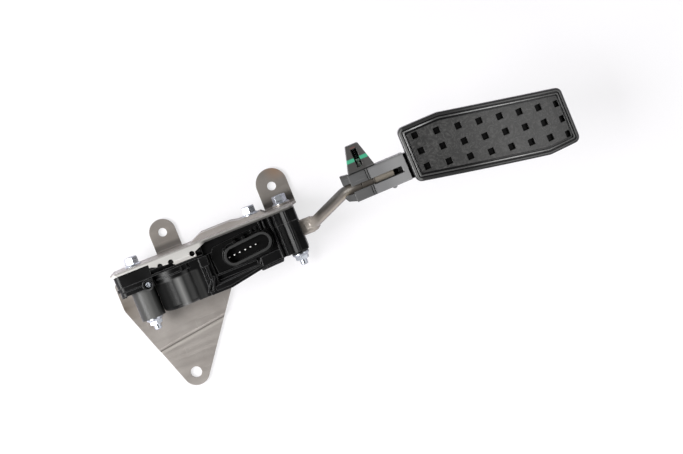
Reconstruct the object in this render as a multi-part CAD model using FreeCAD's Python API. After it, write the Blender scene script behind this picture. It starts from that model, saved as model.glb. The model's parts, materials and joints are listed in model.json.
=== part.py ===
import FreeCAD, Part
import math
import os

# Accelerator pedal with a folded steel bracket, a moulded housing and a rubber-faced pad.
# The origin is the centre of the bracket's lower mounting hole, on the face that meets the car.
# X runs along the housing towards the pad, Y across to the bracket's web, Z away from the car.

# Bracket sheet and its mounting holes
sheet = 2.5
bend_inside = 2.0
tongue_hole_radius = 4.6
tongue_tip_radius = 11.0
tab_hole_radius = 3.6
left_hole_x = 17.75
left_hole_y = 116.9
right_hole_x = 114.25
right_hole_y = 119.0
left_tab_half_width = 10.9
right_tab_half_width = 12.9
right_tab_offset = 0.65
right_tab_reach = 1.7
plate_raise = 2.0
joggle_run = 2.4
plate_left_x = -35.0
plate_left_y = 68.5
plate_right_x = 53.6
plate_right_y = 54.8
joggle_left_x = -17.9
joggle_left_y = 26.7
joggle_right_x = 38.2
joggle_right_y = 34.2
slit_width = 1.5

# Web of the bracket
web_face_y = 99.5
web_left_x = -30.1
web_flare = 3.2
web_height = 46.0
lip_left_x = 2.0
lip_right_x = 40.0
lip_taper = 10.0
lip_flat = 4.6
lip_drop = 2.6
lip_run = 3.4
lip_hole_radius = 2.2
lip_hole_spots = (8.3, 17.4, 35.4)
bulge_left = 53.0
bulge_peak = 42.8
bulge_fall = 18.0
bulge_low = 11.0
bulge_high = 8.5
bulge_right = 12.0
bulge_depth = 4.4
seat_height = 2.9
bulge_top_z = 32.0
bulge_top_run = 4.0
ear_seat_height = 1.8
ear_seat_radius = 7.6

# Fasteners
bolt_radius = 3.0
bolt_gap = 0.3
hex_across_flats = 10.0
hex_height = 5.8
flange_radius = 7.0
flange_thickness = 1.5
flange_slope = 1.4
nut_flange_edge = 1.2
nut_flange_cone = 1.5
nut_height = 5.8
stud_end = 4.5
left_bolt_x = -11.7
left_bolt_z = 26.0
middle_bolt_offset = 11.8
middle_bolt_z = 22.0
right_bolt_inset = 8.6
right_bolt_z = 11.6
left_bolt_turn = 12.0
middle_bolt_turn = 25.0
right_bolt_turn = 5.0
left_nut_turn = 20.0
right_nut_turn = 40.0
thread_gap = 0.04

# Housing, with depths measured from the web's inner face
cover_thickness = 10.1
collar_depth = 7.5
boss_reach = 42.2
barrel_reach = 41.8
block_reach = 35.0
shell_reach = 42.0
shell_step_reach = 37.1
housing_left_x = -28.6
shell_left_x = 28.5
shell_round_x = 57.0
shell_step_offset = 17.6
block_left_x = 102.3
block_width = 22.6
nut_boss_height = 3.8
nut_boss_radius = 7.0
housing_front_z = 43.5
recess_floor_z = 37.5
housing_wall = 3.0
floor_thickness = 2.0
case_low_z = 15.0
boss_radius = 10.0
barrel_end_round = 3.0
collar_ring_width = 4.6
collar_ring_height = 0.8
lug_length = 12.0
upper_lug_z = 27.0
lower_lug_z = 25.0
notch_width = 6.8
notch_depth = 3.4
groove_width = 0.8
groove_depth = 2.2
screw_x = -4.3
screw_reach = 15.0
screw_head_radius = 2.5
screw_head_height = 1.8
screw_radius = 1.5
screw_length = 8.5
screw_cross = 0.8
screw_recess_radius = 3.3
screw_recess_wall = 1.3
screw_recess_depth = 3.4
rim_left_x = 39.2
slot_left_x = 48.2
slot_end_gap = 2.2
slot_reach = 31.1
slot_width = 3.8
clip_left_x = 40.1
clip_width = 6.5
clip_reach = 18.0
rib_length = 11.6
foot_width = 19.5
foot_depth = 2.4

# Pivot and its running parts
pivot_x = 16.9
pivot_z = 24.5
barrel_radius = 18.5
shaft_radius = 4.0
running_gap = 0.05
bush_wall = 2.0
bush_floor = 2.0
bush_roof = 1.6
hub_radius = 13.9
hub_gap = 0.3
hub_end_gap = 1.5
shoe_thickness = 1.3
shoe_start_angle = 115.0
shoe_end_angle = 245.0
shoe_end_gap = 2.0
magnet_depth = 3.0
magnet_start_angle = 48.0
magnet_end_angle = 92.0
magnet_length = 7.0
magnet_end_gap = 2.0
hub_pocket_depth = 3.0

# Arm
arm_reach = 18.9
bar_width = 13.0
bar_thickness = 7.5
bar_edge_radius = 2.5
bar_rest_angle = 4.5
bar_start_x = 22.4
bar_end_x = 134.3
travel_angle = 7.6
rod_radius = 4.5
rod_rise_x = 171.0
rod_rise_y = 95.4
rod_level_z = 87.0
rod_end_x = 209.2
rod_end_y = 94.4
rod_bend_radius = 18.0
rod_foot_radius = 7.0
arm_side_gap = 1.0
arm_roof_gap = 0.9
stop_gap = 0.2

# Return springs
spring_x = 60.4
spring_seat_thickness = 2.0
outer_spring_radius = 6.0
outer_spring_wire = 1.8
inner_spring_radius = 3.5
inner_spring_wire = 1.2
spring_turns = 3.5

# Sensor and its connector
connector_offset = 22.3
connector_reach = 17.0
connector_turn = 4.9
connector_length = 40.2
connector_width = 15.8
connector_wall = 2.0
connector_height = 11.5
sensor_base_thickness = 3.5
sensor_base_gap = 1.8
sensor_base_end_gap = 1.3
sensor_base_low = 10.2
sensor_base_high = 12.6
sensor_base_step = 4.0
sensor_base_slant = 6.6
shroud_step = 1.5
ramp_offset = -3.6
ramp_width = 10.0
ramp_gap_width = 5.6
ramp_root = 7.0
ramp_reach = 11.4
guide_offset = -17.0
guide_width = 2.8
guide_low = 5.0
guide_high = 8.8
post_spots = (7.8, 11.8)
post_thickness = 1.6
post_low = 9.4
post_high = 12.0
post_height = 2.4
board_length = 34.0
board_width = 12.0
board_floor = 0.7
board_thickness = 1.2
pin_count = 6
pin_pitch = 4.66
pin_offset = -4.8
pin_width = 1.1
pin_thickness = 0.8
pin_root = 2.6
pin_point = 0.25
pin_height = 5.0

# Foot end of the pedal, laid out straight and then turned outwards about the origin
foot_turn = 1.25

# Pad holder with its locking plunger
holder_left_x = 175.5
holder_right_x = 220.5
holder_low_y = 84.0
holder_high_y = 105.6
holder_top_z = 94.5
holder_base_z = 77.0
holder_slot_width = 4.6
holder_slot_end_x = 216.4
rod_fit_gap = 0.1
tower_x = 187.4
tower_base_half = 11.3
tower_top_half = 5.0
tower_top_y = 126.2
tower_depth = 14.0
tower_step = 1.2
window_half = 2.3
window_low_y = 108.4
window_high_y = 122.8
window_depth = 11.0
clamp_groove_offsets = (1.6, 3.4)
clamp_groove_width = 0.7
clamp_groove_depth = 0.8
dent_depth = 1.2
ring_groove_offset = 4.7
ring_groove_width = 0.9
ring_groove_depth = 0.5
plunger_radius = 2.0
plunger_travel = 2.5
plunger_tip_gap = 0.4
plunger_spring_radius = 1.3
plunger_spring_wire = 0.6

# Pad
pad_left_x = 222.5
pad_right_x = 355.0
pad_left_low_y = 80.9
pad_left_high_y = 124.0
pad_right_low_y = 58.2
pad_right_high_y = 102.9
pad_high_bend_x = 256.0
pad_low_bend_x = 327.0
pad_corner_radius = 5.0
pad_bend_radius = 14.0
pad_top_z = 102.0
pad_radius = 315.0
pad_start_angle = 3.0
cover_face = 4.0
cover_skirt = 9.5
cover_side = 2.5
carrier_thickness = 4.0
carrier_rib = 2.4
rim_width = 6.4
rim_height = 0.7
rim_groove_width = 0.6
outer_groove_inset = 3.0
outer_groove_depth = 0.6
inner_groove_inset = 5.2
inner_groove_depth = 1.2
dimple_size = 5.2
dimple_depth = 2.2
dimple_columns = 8
dimple_rows = 3
dimple_first_angle = 5.13
dimple_pitch_angle = 3.07
dimple_first_y = 114.4
dimple_row_pitch = 12.55
dimple_column_shift = 3.14
neck_depth = 12.0
neck_length = 18.0

# Places worked out from the sizes above
web_outer_y = web_face_y + sheet
bolt_seat_y = web_outer_y + seat_height
ear_seat_y = web_outer_y + ear_seat_height
nut_boss_y = web_face_y - block_reach - nut_boss_height
bend_outside = bend_inside + sheet
plate_top_z = plate_raise + sheet
cover_low_y = web_face_y - cover_thickness
collar_low_y = cover_low_y - collar_depth
boss_end_y = web_face_y - boss_reach
barrel_end_y = web_face_y - barrel_reach
block_end_y = web_face_y - block_reach
shell_y = web_face_y - shell_reach
shell_step_y = web_face_y - shell_step_reach
screw_y = web_face_y - screw_reach
slot_y = web_face_y - slot_reach
clip_y = web_face_y - clip_reach
arm_y = web_face_y - arm_reach
connector_y = web_face_y - connector_reach
housing_right_x = block_left_x + block_width
web_right_x = housing_right_x
shell_step_x = block_left_x - shell_step_offset
slot_right_x = shell_step_x - slot_end_gap
slot_low_y = slot_y - slot_width / 2
slot_high_y = slot_y + slot_width / 2
connector_x = block_left_x - connector_offset
middle_bolt_x = block_left_x - middle_bolt_offset
right_bolt_x = housing_right_x - right_bolt_inset
bulge_left_x = middle_bolt_x - bulge_left
bulge_right_x = middle_bolt_x + bulge_right
case_top_z = pivot_z + barrel_radius
screw_seat_z = case_top_z - screw_recess_depth
panel_z = recess_floor_z + 4.5
channel_low_y = arm_y - bar_width / 2 - arm_side_gap
channel_high_y = arm_y + bar_width / 2 + arm_side_gap
channel_floor_z = plate_top_z + floor_thickness
bore_radius = barrel_radius - housing_wall
bush_radius = shaft_radius + running_gap + bush_wall
bore_low_y = barrel_end_y + housing_wall * 2
hub_low_y = bore_low_y + hub_end_gap
hub_high_y = cover_low_y - hub_end_gap
plunger_z = rod_level_z
rod_side_y = rod_end_y + rod_radius
pad_centre_x = pad_left_x - pad_radius * math.sin(math.radians(pad_start_angle))
pad_centre_z = pad_top_z - pad_radius * math.cos(math.radians(pad_start_angle))


def along_x(value):
    return FreeCAD.Vector(value, 0, 0)


def along_y(value):
    return FreeCAD.Vector(0, value, 0)


def along_z(value):
    return FreeCAD.Vector(0, 0, value)


def in_space(plane, level, point):
    """Place a flat point on a plane that is square to the axis missing from its name."""
    if plane == "XY":
        return FreeCAD.Vector(point[0], point[1], level)
    if plane == "XZ":
        return FreeCAD.Vector(point[0], level, point[1])
    return FreeCAD.Vector(level, point[0], point[1])


def rounded_corner(before, corner, after):
    """Give the start, middle and end of the arc that rounds a corner (x, y, radius)."""
    u, v, radius = corner
    if radius <= 0:
        return [(u, v)]
    reach_a = math.hypot(before[0] - u, before[1] - v)
    reach_b = math.hypot(after[0] - u, after[1] - v)
    a = ((before[0] - u) / reach_a, (before[1] - v) / reach_a)
    b = ((after[0] - u) / reach_b, (after[1] - v) / reach_b)
    half = math.acos(a[0] * b[0] + a[1] * b[1]) / 2
    run = radius / math.tan(half)
    middle = ((a[0] + b[0]) / 2, (a[1] + b[1]) / 2)
    size = math.hypot(*middle)
    toward = (middle[0] / size, middle[1] / size)
    depth = radius / math.sin(half) - radius
    return [
        (u + a[0] * run, v + a[1] * run),
        (u + toward[0] * depth, v + toward[1] * depth),
        (u + b[0] * run, v + b[1] * run),
    ]


def outline(corners, plane, level):
    """Make a closed wire from corners (x, y) or (x, y, radius)."""
    full = [corner if len(corner) == 3 else (corner[0], corner[1], 0) for corner in corners]
    count = len(full)
    rounds = [rounded_corner(full[i - 1], full[i], full[(i + 1) % count]) for i in range(count)]
    edges = []
    for i in range(count):
        points = [in_space(plane, level, point) for point in rounds[i]]
        if len(points) == 3:
            edges.append(Part.Arc(*points).toShape())
        start = points[-1]
        end = in_space(plane, level, rounds[(i + 1) % count][0])
        if start.distanceToPoint(end) > 1e-6:
            edges.append(Part.LineSegment(start, end).toShape())
    return Part.Wire(edges)


def slab(corners, plane, low, high):
    """Extrude an outline between two levels along the axis missing from the plane's name."""
    directions = {"XY": along_z, "XZ": along_y, "YZ": along_x}
    face = Part.Face(outline(corners, plane, low))
    return face.extrude(directions[plane](high - low))


def block(x, y, z):
    """Box between pairs of coordinates."""
    size = (x[1] - x[0], y[1] - y[0], z[1] - z[0])
    return Part.makeBox(size[0], size[1], size[2], FreeCAD.Vector(x[0], y[0], z[0]))


def round_y(radius, x, z, low, high):
    """Cylinder along Y."""
    return Part.makeCylinder(radius, high - low, FreeCAD.Vector(x, low, z), along_y(1))


def round_z(radius, x, y, low, high):
    """Cylinder along Z."""
    return Part.makeCylinder(radius, high - low, FreeCAD.Vector(x, y, low), along_z(1))


def ring_y(inner, outer, x, z, low, high):
    """Tube along Y."""
    return round_y(outer, x, z, low, high).cut(round_y(inner, x, z, low - 1, high + 1))


def turned_y(profile, x, z):
    """Revolve a profile of (radius, y) points about a line along Y."""
    points = [FreeCAD.Vector(x + radius, y, z) for radius, y in profile]
    wire = Part.makePolygon(points + [points[0]])
    return Part.Face(wire).revolve(FreeCAD.Vector(x, 0, z), along_y(1), 360)


def fused(shapes):
    """Join several solids into one and drop the seams between flush faces."""
    return shapes[0].multiFuse(shapes[1:]).removeSplitter()


def bar_height(x):
    """Height of the flat bar's centre line at rest."""
    return pivot_z + (x - pivot_x) * math.tan(math.radians(bar_rest_angle))


def bar_under(x):
    """Height of the flat bar's underside at rest."""
    return bar_height(x) - bar_thickness / 2 / math.cos(math.radians(bar_rest_angle))


def tangent_corner(left, right, radius):
    """Corner of the two lines from a left and a right point that touch a circle at the origin."""
    normals = []
    for point, side in ((left, 1), (right, -1)):
        angle = math.atan2(point[1], point[0])
        swing = math.acos(radius / math.hypot(*point))
        normals.append((math.cos(angle + side * swing), math.sin(angle + side * swing)))
    (a, b), (c, d) = normals
    scale = radius / (a * d - b * c)
    return ((d - b) * scale, (a - c) * scale)


def plate_outline():
    """Outline of the back plate with its tongue, seen along Z."""
    left = (plate_left_x, plate_left_y)
    right = (plate_right_x, plate_right_y)
    tip = tangent_corner(left, right, tongue_tip_radius)
    rise = (web_outer_y - tip[1]) / (right[1] - tip[1])
    top_right = tip[0] + (right[0] - tip[0]) * rise
    shoulder_y = web_face_y - 7.0
    return [
        (tip[0], tip[1], tongue_tip_radius),
        (top_right, web_outer_y, 0),
        (web_left_x, web_outer_y, 0),
        (web_left_x, shoulder_y, 0),
        (plate_left_x, shoulder_y, 4.0),
        (left[0], left[1], 12.0),
    ]


def back_plate():
    """Flat plate with a joggle that lifts its upper part off the mounting face."""
    left = (joggle_left_x, joggle_left_y)
    right = (joggle_right_x, joggle_right_y)
    turn = math.degrees(math.atan2(right[1] - left[1], right[0] - left[0]))
    reach = web_outer_y + web_right_x
    section = [
        (-reach, 0), (0, 0, sheet), (joggle_run, plate_raise, sheet), (reach, plate_raise),
        (reach, plate_top_z), (joggle_run, plate_top_z, sheet), (0, sheet, sheet), (-reach, sheet),
    ]
    strip = slab(section, "YZ", -reach, reach)
    strip.rotate(FreeCAD.Vector(0, 0, 0), along_z(1), turn)
    strip.translate(FreeCAD.Vector(left[0], left[1], 0))
    reach_y = web_outer_y - bend_outside
    cut_line = block((-reach, reach), (reach_y, reach), (-5, web_height))
    return strip.common(slab(plate_outline(), "XY", -1, web_height)).cut(cut_line)


def tab(hole_x, hole_y, centre_x, half_width, arc_y):
    """Mounting ear folded outwards from the web's back edge, with its round hole."""
    root_z = bend_outside + 4.0
    section = [
        (web_face_y, 0, bend_outside), (arc_y + half_width, 0), (arc_y + half_width, sheet),
        (web_outer_y, sheet, bend_inside), (web_outer_y, root_z), (web_face_y, root_z),
    ]
    low, high = centre_x - half_width, centre_x + half_width
    ear = [
        (low, web_face_y), (low, arc_y + half_width, half_width - 0.01),
        (high, arc_y + half_width, half_width - 0.01), (high, web_face_y),
    ]
    folded = slab(section, "YZ", low, high).common(slab(ear, "XY", -1, root_z + 1))
    return folded.cut(round_z(tab_hole_radius, hole_x, hole_y, -1, sheet + 1))


def web():
    """Upright wall that carries the housing."""
    foot_z = bend_outside + 4.0
    corners = [
        (web_left_x, foot_z), (web_right_x + web_flare, foot_z), (web_right_x, foot_z + 12.0, 8.0),
        (web_right_x, web_height, 4.0), (web_left_x, web_height, 5.0),
    ]
    return slab(corners, "XZ", web_face_y, web_outer_y)


def bolt_places():
    return (
        (left_bolt_x, left_bolt_z),
        (middle_bolt_x, middle_bolt_z),
        (right_bolt_x, right_bolt_z),
    )


def plate_bend(low, high):
    """Rounded corner between the web and the back plate, from one X to another."""
    foot_z = bend_outside + 4.0
    start_y = web_outer_y - bend_outside
    section = [
        (start_y, plate_raise), (web_outer_y, plate_raise, bend_outside), (web_outer_y, foot_z),
        (web_face_y, foot_z), (web_face_y, plate_top_z, bend_inside), (start_y, plate_top_z),
    ]
    return slab(section, "YZ", low, high)


def front_lip():
    """Lip folded from the web's front edge over the housing, with its relief holes."""
    low_z = web_height - 8.0
    flat_y = web_face_y - lip_flat
    edge_y = flat_y - lip_run
    edge_z = web_height - lip_drop
    end_x = lip_right_x + lip_taper
    section = [
        (web_outer_y, low_z), (web_outer_y, web_height, 3.0), (flat_y, web_height, 2.5),
        (edge_y, edge_z), (edge_y, edge_z - sheet), (flat_y, web_height - sheet, 1.5),
        (web_face_y, web_height - sheet, 0.8), (web_face_y, low_z),
    ]
    lip = slab(section, "YZ", lip_left_x, end_x)
    for spot in lip_hole_spots:
        hole = round_z(lip_hole_radius, lip_left_x + spot, flat_y, web_height - 9, web_height + 1)
        lip = lip.cut(hole)
    left_slant = [
        (lip_left_x - 1, edge_y - 1), (lip_left_x + 21, edge_y - 1), (lip_left_x + 17, flat_y - 0.9),
        (lip_left_x + 7, flat_y - 0.2), (lip_left_x + 1.5, flat_y + 1.8), (lip_left_x - 1, flat_y + 1.8),
    ]
    right_slant = [
        (lip_right_x, edge_y - 1), (end_x + 1, edge_y - 1), (end_x + 1, web_face_y),
        (end_x, web_face_y), (lip_right_x, flat_y + 0.6),
    ]
    for slant in (left_slant, right_slant):
        lip = lip.cut(slab(slant, "XY", low_z - 1, web_height + 1))
    return lip


def lip_room():
    """Space cleared in the moulded case for the bracket's front lip."""
    flat_y = web_face_y - lip_flat
    edge_y = flat_y - lip_run
    under = web_height - sheet - 0.4
    section = [
        (edge_y - 0.6, web_height), (edge_y - 0.6, under - lip_drop - 0.8), (flat_y, under),
        (web_face_y - 1.0, under), (web_face_y, under - 1.0), (web_face_y, web_height),
    ]
    return slab(section, "YZ", lip_left_x - 1.0, lip_right_x + lip_taper + 1.0)


def bend_room():
    """Bevel that keeps the case off the rounded corner between web and back plate."""
    bevel = bend_inside + 0.3
    corner = [
        (web_face_y - bevel, plate_top_z), (web_face_y, plate_top_z + bevel),
        (web_face_y, plate_top_z),
    ]
    return slab(corner, "YZ", web_left_x - 5, web_right_x + 5)


def bulge(offset):
    """Pressed pocket on the web's outer face, with a flat seat for the middle bolt."""
    base_y = web_face_y + offset
    low_z = bend_outside + 0.5
    profile = [
        (bulge_left_x, base_y), (bulge_right_x, base_y),
        (middle_bolt_x + bulge_high, base_y + seat_height, 1.5),
        (middle_bolt_x - bulge_low, base_y + seat_height, 4.0),
        (middle_bolt_x - bulge_fall, base_y + bulge_depth, 4.0),
        (middle_bolt_x - bulge_peak, base_y + bulge_depth, 2.0),
    ]
    raised = slab(profile, "XY", low_z, bulge_top_z)
    reach_y = base_y + bulge_depth + 1
    slope = slab([
        (base_y, bulge_top_z), (reach_y, bulge_top_z - bulge_top_run * (bulge_depth + 1) / bulge_depth),
        (reach_y, bulge_top_z + 1), (base_y, bulge_top_z + 1),
    ], "YZ", bulge_left_x - 1, bulge_right_x + 1)
    return raised.cut(slope)


def mounting_bracket():
    """Folded sheet: web, back plate with tongue, two ears, front lip and pressed pocket."""
    left_low = left_hole_x - left_tab_half_width
    left_high = left_hole_x + left_tab_half_width
    right_x = right_hole_x + right_tab_offset
    plate_end_x = plate_outline()[1][0]
    pieces = [
        web(),
        back_plate(),
        plate_bend(web_left_x, left_low - slit_width),
        plate_bend(left_high + slit_width, plate_end_x),
        tab(left_hole_x, left_hole_y, left_hole_x, left_tab_half_width, left_hole_y),
        tab(right_hole_x, right_hole_y, right_x, right_tab_half_width, right_hole_y + right_tab_reach),
        front_lip(),
        bulge(sheet),
        round_y(ear_seat_radius, right_bolt_x, right_bolt_z, web_face_y, ear_seat_y),
    ]
    sheet_metal = fused(pieces)
    relief_y = web_face_y - bend_inside - 3.0
    relief = [
        (left_low - slit_width, relief_y, 3.0), (left_high + slit_width, relief_y, 3.0),
        (left_high + slit_width, web_face_y), (left_low - slit_width, web_face_y),
    ]
    sheet_metal = sheet_metal.cut(slab(relief, "XY", plate_raise - 1, plate_top_z + 1))
    sheet_metal = sheet_metal.cut(bulge(0))
    for x, z in bolt_places():
        hole = round_y(bolt_radius + bolt_gap, x, z, web_face_y - 1, web_outer_y + bulge_depth)
        sheet_metal = sheet_metal.cut(hole)
    return sheet_metal.cut(round_z(tongue_hole_radius, 0, 0, -1, sheet + 1))


def block_profile(low, high):
    """Right end block whose front carries three ridges and a hollow, seen along Y."""
    left = block_left_x
    front = housing_front_z
    corners = [
        (left, plate_top_z), (housing_right_x, plate_top_z, 2.0), (housing_right_x, front - 1.4, 1.0),
        (left + 17.0, front - 1.4, 0.5), (left + 16.4, front, 0.8), (left + 14.8, front, 0.8),
        (left + 13.6, front - 1.6), (left + 10.4, front - 2.6, 3.0), (left + 7.2, front - 1.6),
        (left + 6.6, front, 0.7), (left + 5.0, front, 0.7), (left + 4.4, front - 3.2, 0.4),
        (left + 2.6, front - 3.2, 0.4), (left + 2.0, front - 0.6, 0.6), (left + 0.5, front - 0.6, 0.6),
        (left, front - 4.0),
    ]
    return slab(corners, "XZ", low, high)


def cover_profile(low, high):
    """Outline of the cover left of the end block, seen along Y."""
    step_x = slot_left_x - 3.5
    corners = [
        (housing_left_x, case_low_z, 8.0), (housing_left_x, case_top_z, 5.0), (step_x, case_top_z, 2.0),
        (step_x, recess_floor_z), (block_left_x + 1.0, recess_floor_z),
        (block_left_x + 1.0, plate_top_z), (left_bolt_x + 2.0, plate_top_z, 6.0),
    ]
    return slab(corners, "XZ", low, high)


def channel(low, high):
    """Space in which the flat bar swings, open at the right end."""
    roof = bar_thickness / 2 + arm_roof_gap
    end = housing_right_x + 5.0
    corners = [
        (pivot_x, channel_floor_z), (end, channel_floor_z),
        (end, bar_height(end) + roof), (pivot_x, bar_height(pivot_x) + roof),
    ]
    return slab(corners, "XZ", low, high)


def idle_stop(grow=0.0):
    """Rubber stop in the roof of the channel, on which the bar rests."""
    low_x, high_x = block_left_x - 12.0, block_left_x - 4.0
    reach = bar_thickness / 2 + stop_gap
    roof_z = bar_height(high_x) + bar_thickness / 2 + arm_roof_gap + 1.2
    corners = [
        (low_x, bar_height(low_x) + reach), (high_x, bar_height(high_x) + reach),
        (high_x, roof_z), (low_x, roof_z),
    ]
    half = bar_width / 2 - 2.0 + grow
    return slab(corners, "XZ", arm_y - half, arm_y + half)


def travel_stop():
    """Rubber stop on the floor of the channel, which ends the arm's travel."""
    centre_x = block_left_x + 4.0
    pressed = math.radians(bar_rest_angle - travel_angle)
    bar_z = pivot_z + (centre_x + 4.0 - pivot_x) * math.tan(pressed)
    top_z = bar_z - bar_thickness / 2 / math.cos(pressed) - stop_gap
    half = bar_width / 2 - 2.0
    pad = block((centre_x - 4.0, centre_x + 4.0), (arm_y - half, arm_y + half), (channel_floor_z, top_z))
    return pad.makeFillet(0.6, [edge for edge in pad.Edges if edge.BoundBox.ZMin > top_z - 0.01])


def collar_lug(left, bottom, low, high):
    """Small lug with rounded corners on the collar's end face."""
    right = housing_left_x + 4.0
    top = bottom + lug_length
    return slab([(left, bottom, 1.0), (right, bottom), (right, top), (left, top, 1.0)], "XZ", low, high)


def collar():
    """Band round the left end, with two lugs on its end face and a groove along its front."""
    top = case_top_z - 0.8
    corners = [
        (housing_left_x + 0.6, case_low_z, 8.0), (housing_left_x + 0.6, top, 5.0), (1.0, top, 2.0),
        (1.0, plate_top_z + 4.0), (left_bolt_x, plate_top_z + 4.0, 8.0),
    ]
    band = slab(corners, "XZ", collar_low_y, cover_low_y)
    lugs = [
        collar_lug(housing_left_x - 0.9, upper_lug_z, cover_low_y - 3.2, cover_low_y - 0.6),
        collar_lug(housing_left_x + 0.2, lower_lug_z, collar_low_y - 1.2, collar_low_y + 1.5),
    ]
    screw_rim = screw_recess_radius + screw_recess_wall
    return [band, round_z(screw_rim, screw_x, screw_y, top - 6.0, top + 0.7)] + lugs


def barrel():
    """Pivot barrel with a rounded end and a stepped ring where it meets the cover."""
    body = round_y(barrel_radius, pivot_x, pivot_z, barrel_end_y, cover_low_y)
    rim_edges = [edge for edge in body.Edges if edge.BoundBox.YMax < barrel_end_y + 0.01]
    body = body.makeFillet(barrel_end_round, rim_edges)
    ring_low = cover_low_y - collar_ring_width
    ring = round_y(barrel_radius + collar_ring_height, pivot_x, pivot_z, ring_low, cover_low_y)
    bead = round_y(barrel_radius + collar_ring_height * 1.7, pivot_x, pivot_z, ring_low, ring_low + 1.1)
    return [body, ring, bead]


def shell_edge(inset, left_x):
    """Lower edge of the shell from the barrel to the end block, moved inwards."""
    return [
        (left_x, shell_y + inset, 1.0), (shell_round_x, shell_y + inset, 8.0),
        (shell_step_x, shell_step_y + inset, 3.0), (block_left_x + 1, block_end_y - 1.0 + inset),
    ]


def recess_rim():
    """Two-level rim along the lower edge, the smooth panel beside it and the foot under it."""
    right = block_left_x + 1
    top_edge = [
        (right, slot_high_y + 1.6), (shell_step_x + 1.2, slot_high_y + 0.8, 1.0),
        (slot_right_x + 1.5, slot_low_y, 1.0), (slot_left_x + 0.2, slot_low_y - 2.4, 1.0),
        (slot_left_x + 0.2, cover_low_y), (rim_left_x, cover_low_y),
    ]
    rim = slab(shell_edge(0, rim_left_x) + top_edge, "XY", recess_floor_z - 1, recess_floor_z + 2.6)
    inner = [
        (right, slot_low_y - 0.8), (slot_right_x + 1.0, slot_low_y - 0.8, 1.0),
        (slot_left_x - 4.0, slot_low_y - 3.4),
    ]
    step = slab(shell_edge(2.2, slot_left_x - 4.0)[:3] + inner, "XY", recess_floor_z, recess_floor_z + 4.0)
    panel = slab([
        (shell_step_x + 1.0, shell_step_y + 1.2, 1.5), (right - 0.5, block_end_y + 0.6),
        (right - 0.5, slot_high_y + 2.0), (shell_step_x + 1.6, slot_high_y + 1.0, 1.5),
    ], "XY", recess_floor_z, panel_z)
    foot_right = block_left_x + 0.6
    foot_low = shell_step_y - foot_depth + 0.6
    foot = slab([
        (foot_right - foot_width, foot_low, 1.5), (foot_right, foot_low + 0.8, 1.5),
        (foot_right, block_end_y + 2), (foot_right - foot_width, block_end_y + 2),
    ], "XY", recess_floor_z - 12.0, recess_floor_z + 1.5)
    foot_edges = [edge for edge in foot.Edges if edge.BoundBox.ZMin > recess_floor_z + 1.4]
    foot = foot.makeChamfer(0.9, [edge for edge in foot_edges if edge.BoundBox.YMax < block_end_y])
    return [rim, step, panel, foot]


def pedal_housing():
    """Moulded case: boss, pivot barrel, connector recess and guide block."""
    boss = round_y(boss_radius, left_bolt_x, left_bolt_z, boss_end_y, collar_low_y + 1)
    middle = slab(
        shell_edge(0, shell_left_x) + [(block_left_x + 1, cover_low_y), (shell_left_x, cover_low_y)],
        "XY", plate_top_z, recess_floor_z,
    )
    end_block = block_profile(block_end_y, cover_low_y)
    nut_boss = round_y(nut_boss_radius, right_bolt_x, right_bolt_z, nut_boss_y, block_end_y + 1)
    parts = [boss, middle, end_block, nut_boss] + collar() + barrel() + recess_rim() + clip_ribs()
    case = fused(parts)
    return hollow_housing(case)


def clip_ribs():
    """Snap clip with two round-ended ribs, the tapered strut under it, and the slot's ledge."""
    base_z = recess_floor_z + 2.0
    top_z = case_top_z + 1.5
    left = clip_left_x
    ribs = [slab([
        (left, clip_y, 0.6), (left + clip_width, clip_y, 0.6),
        (left + clip_width, cover_low_y), (left, cover_low_y),
    ], "XY", base_z, top_z)]
    for x in (left - 0.6, left + 2.6):
        ribs.append(slab([
            (x, clip_y - rib_length, 1.0), (x + 2.2, clip_y - rib_length, 1.0),
            (x + 2.2, clip_y + 1), (x, clip_y + 1),
        ], "XY", base_z, top_z - 0.9))
    foot_y = shell_y + 2.6
    strut = slab([
        (left - 3.4, foot_y + 0.6, 0.8), (left + 2.4, foot_y - 0.4, 0.8),
        (left + 7.0, clip_y - rib_length + 1.6, 0.8), (left + 4.8, clip_y - rib_length + 2.2, 0.8),
    ], "XY", base_z, top_z - 1.8)
    strut_hollow = slab([
        (left - 1.2, foot_y + 1.6), (left + 1.4, foot_y + 1.0), (left + 4.6, clip_y - rib_length - 0.4),
    ], "XY", base_z + 1.5, top_z)
    ribs.append(strut.cut(strut_hollow))
    ledge_z = (recess_floor_z - 0.5, recess_floor_z + 2.5)
    ribs.append(block((slot_left_x, slot_right_x), (slot_high_y, slot_high_y + 1.2), ledge_z))
    return ribs


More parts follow.
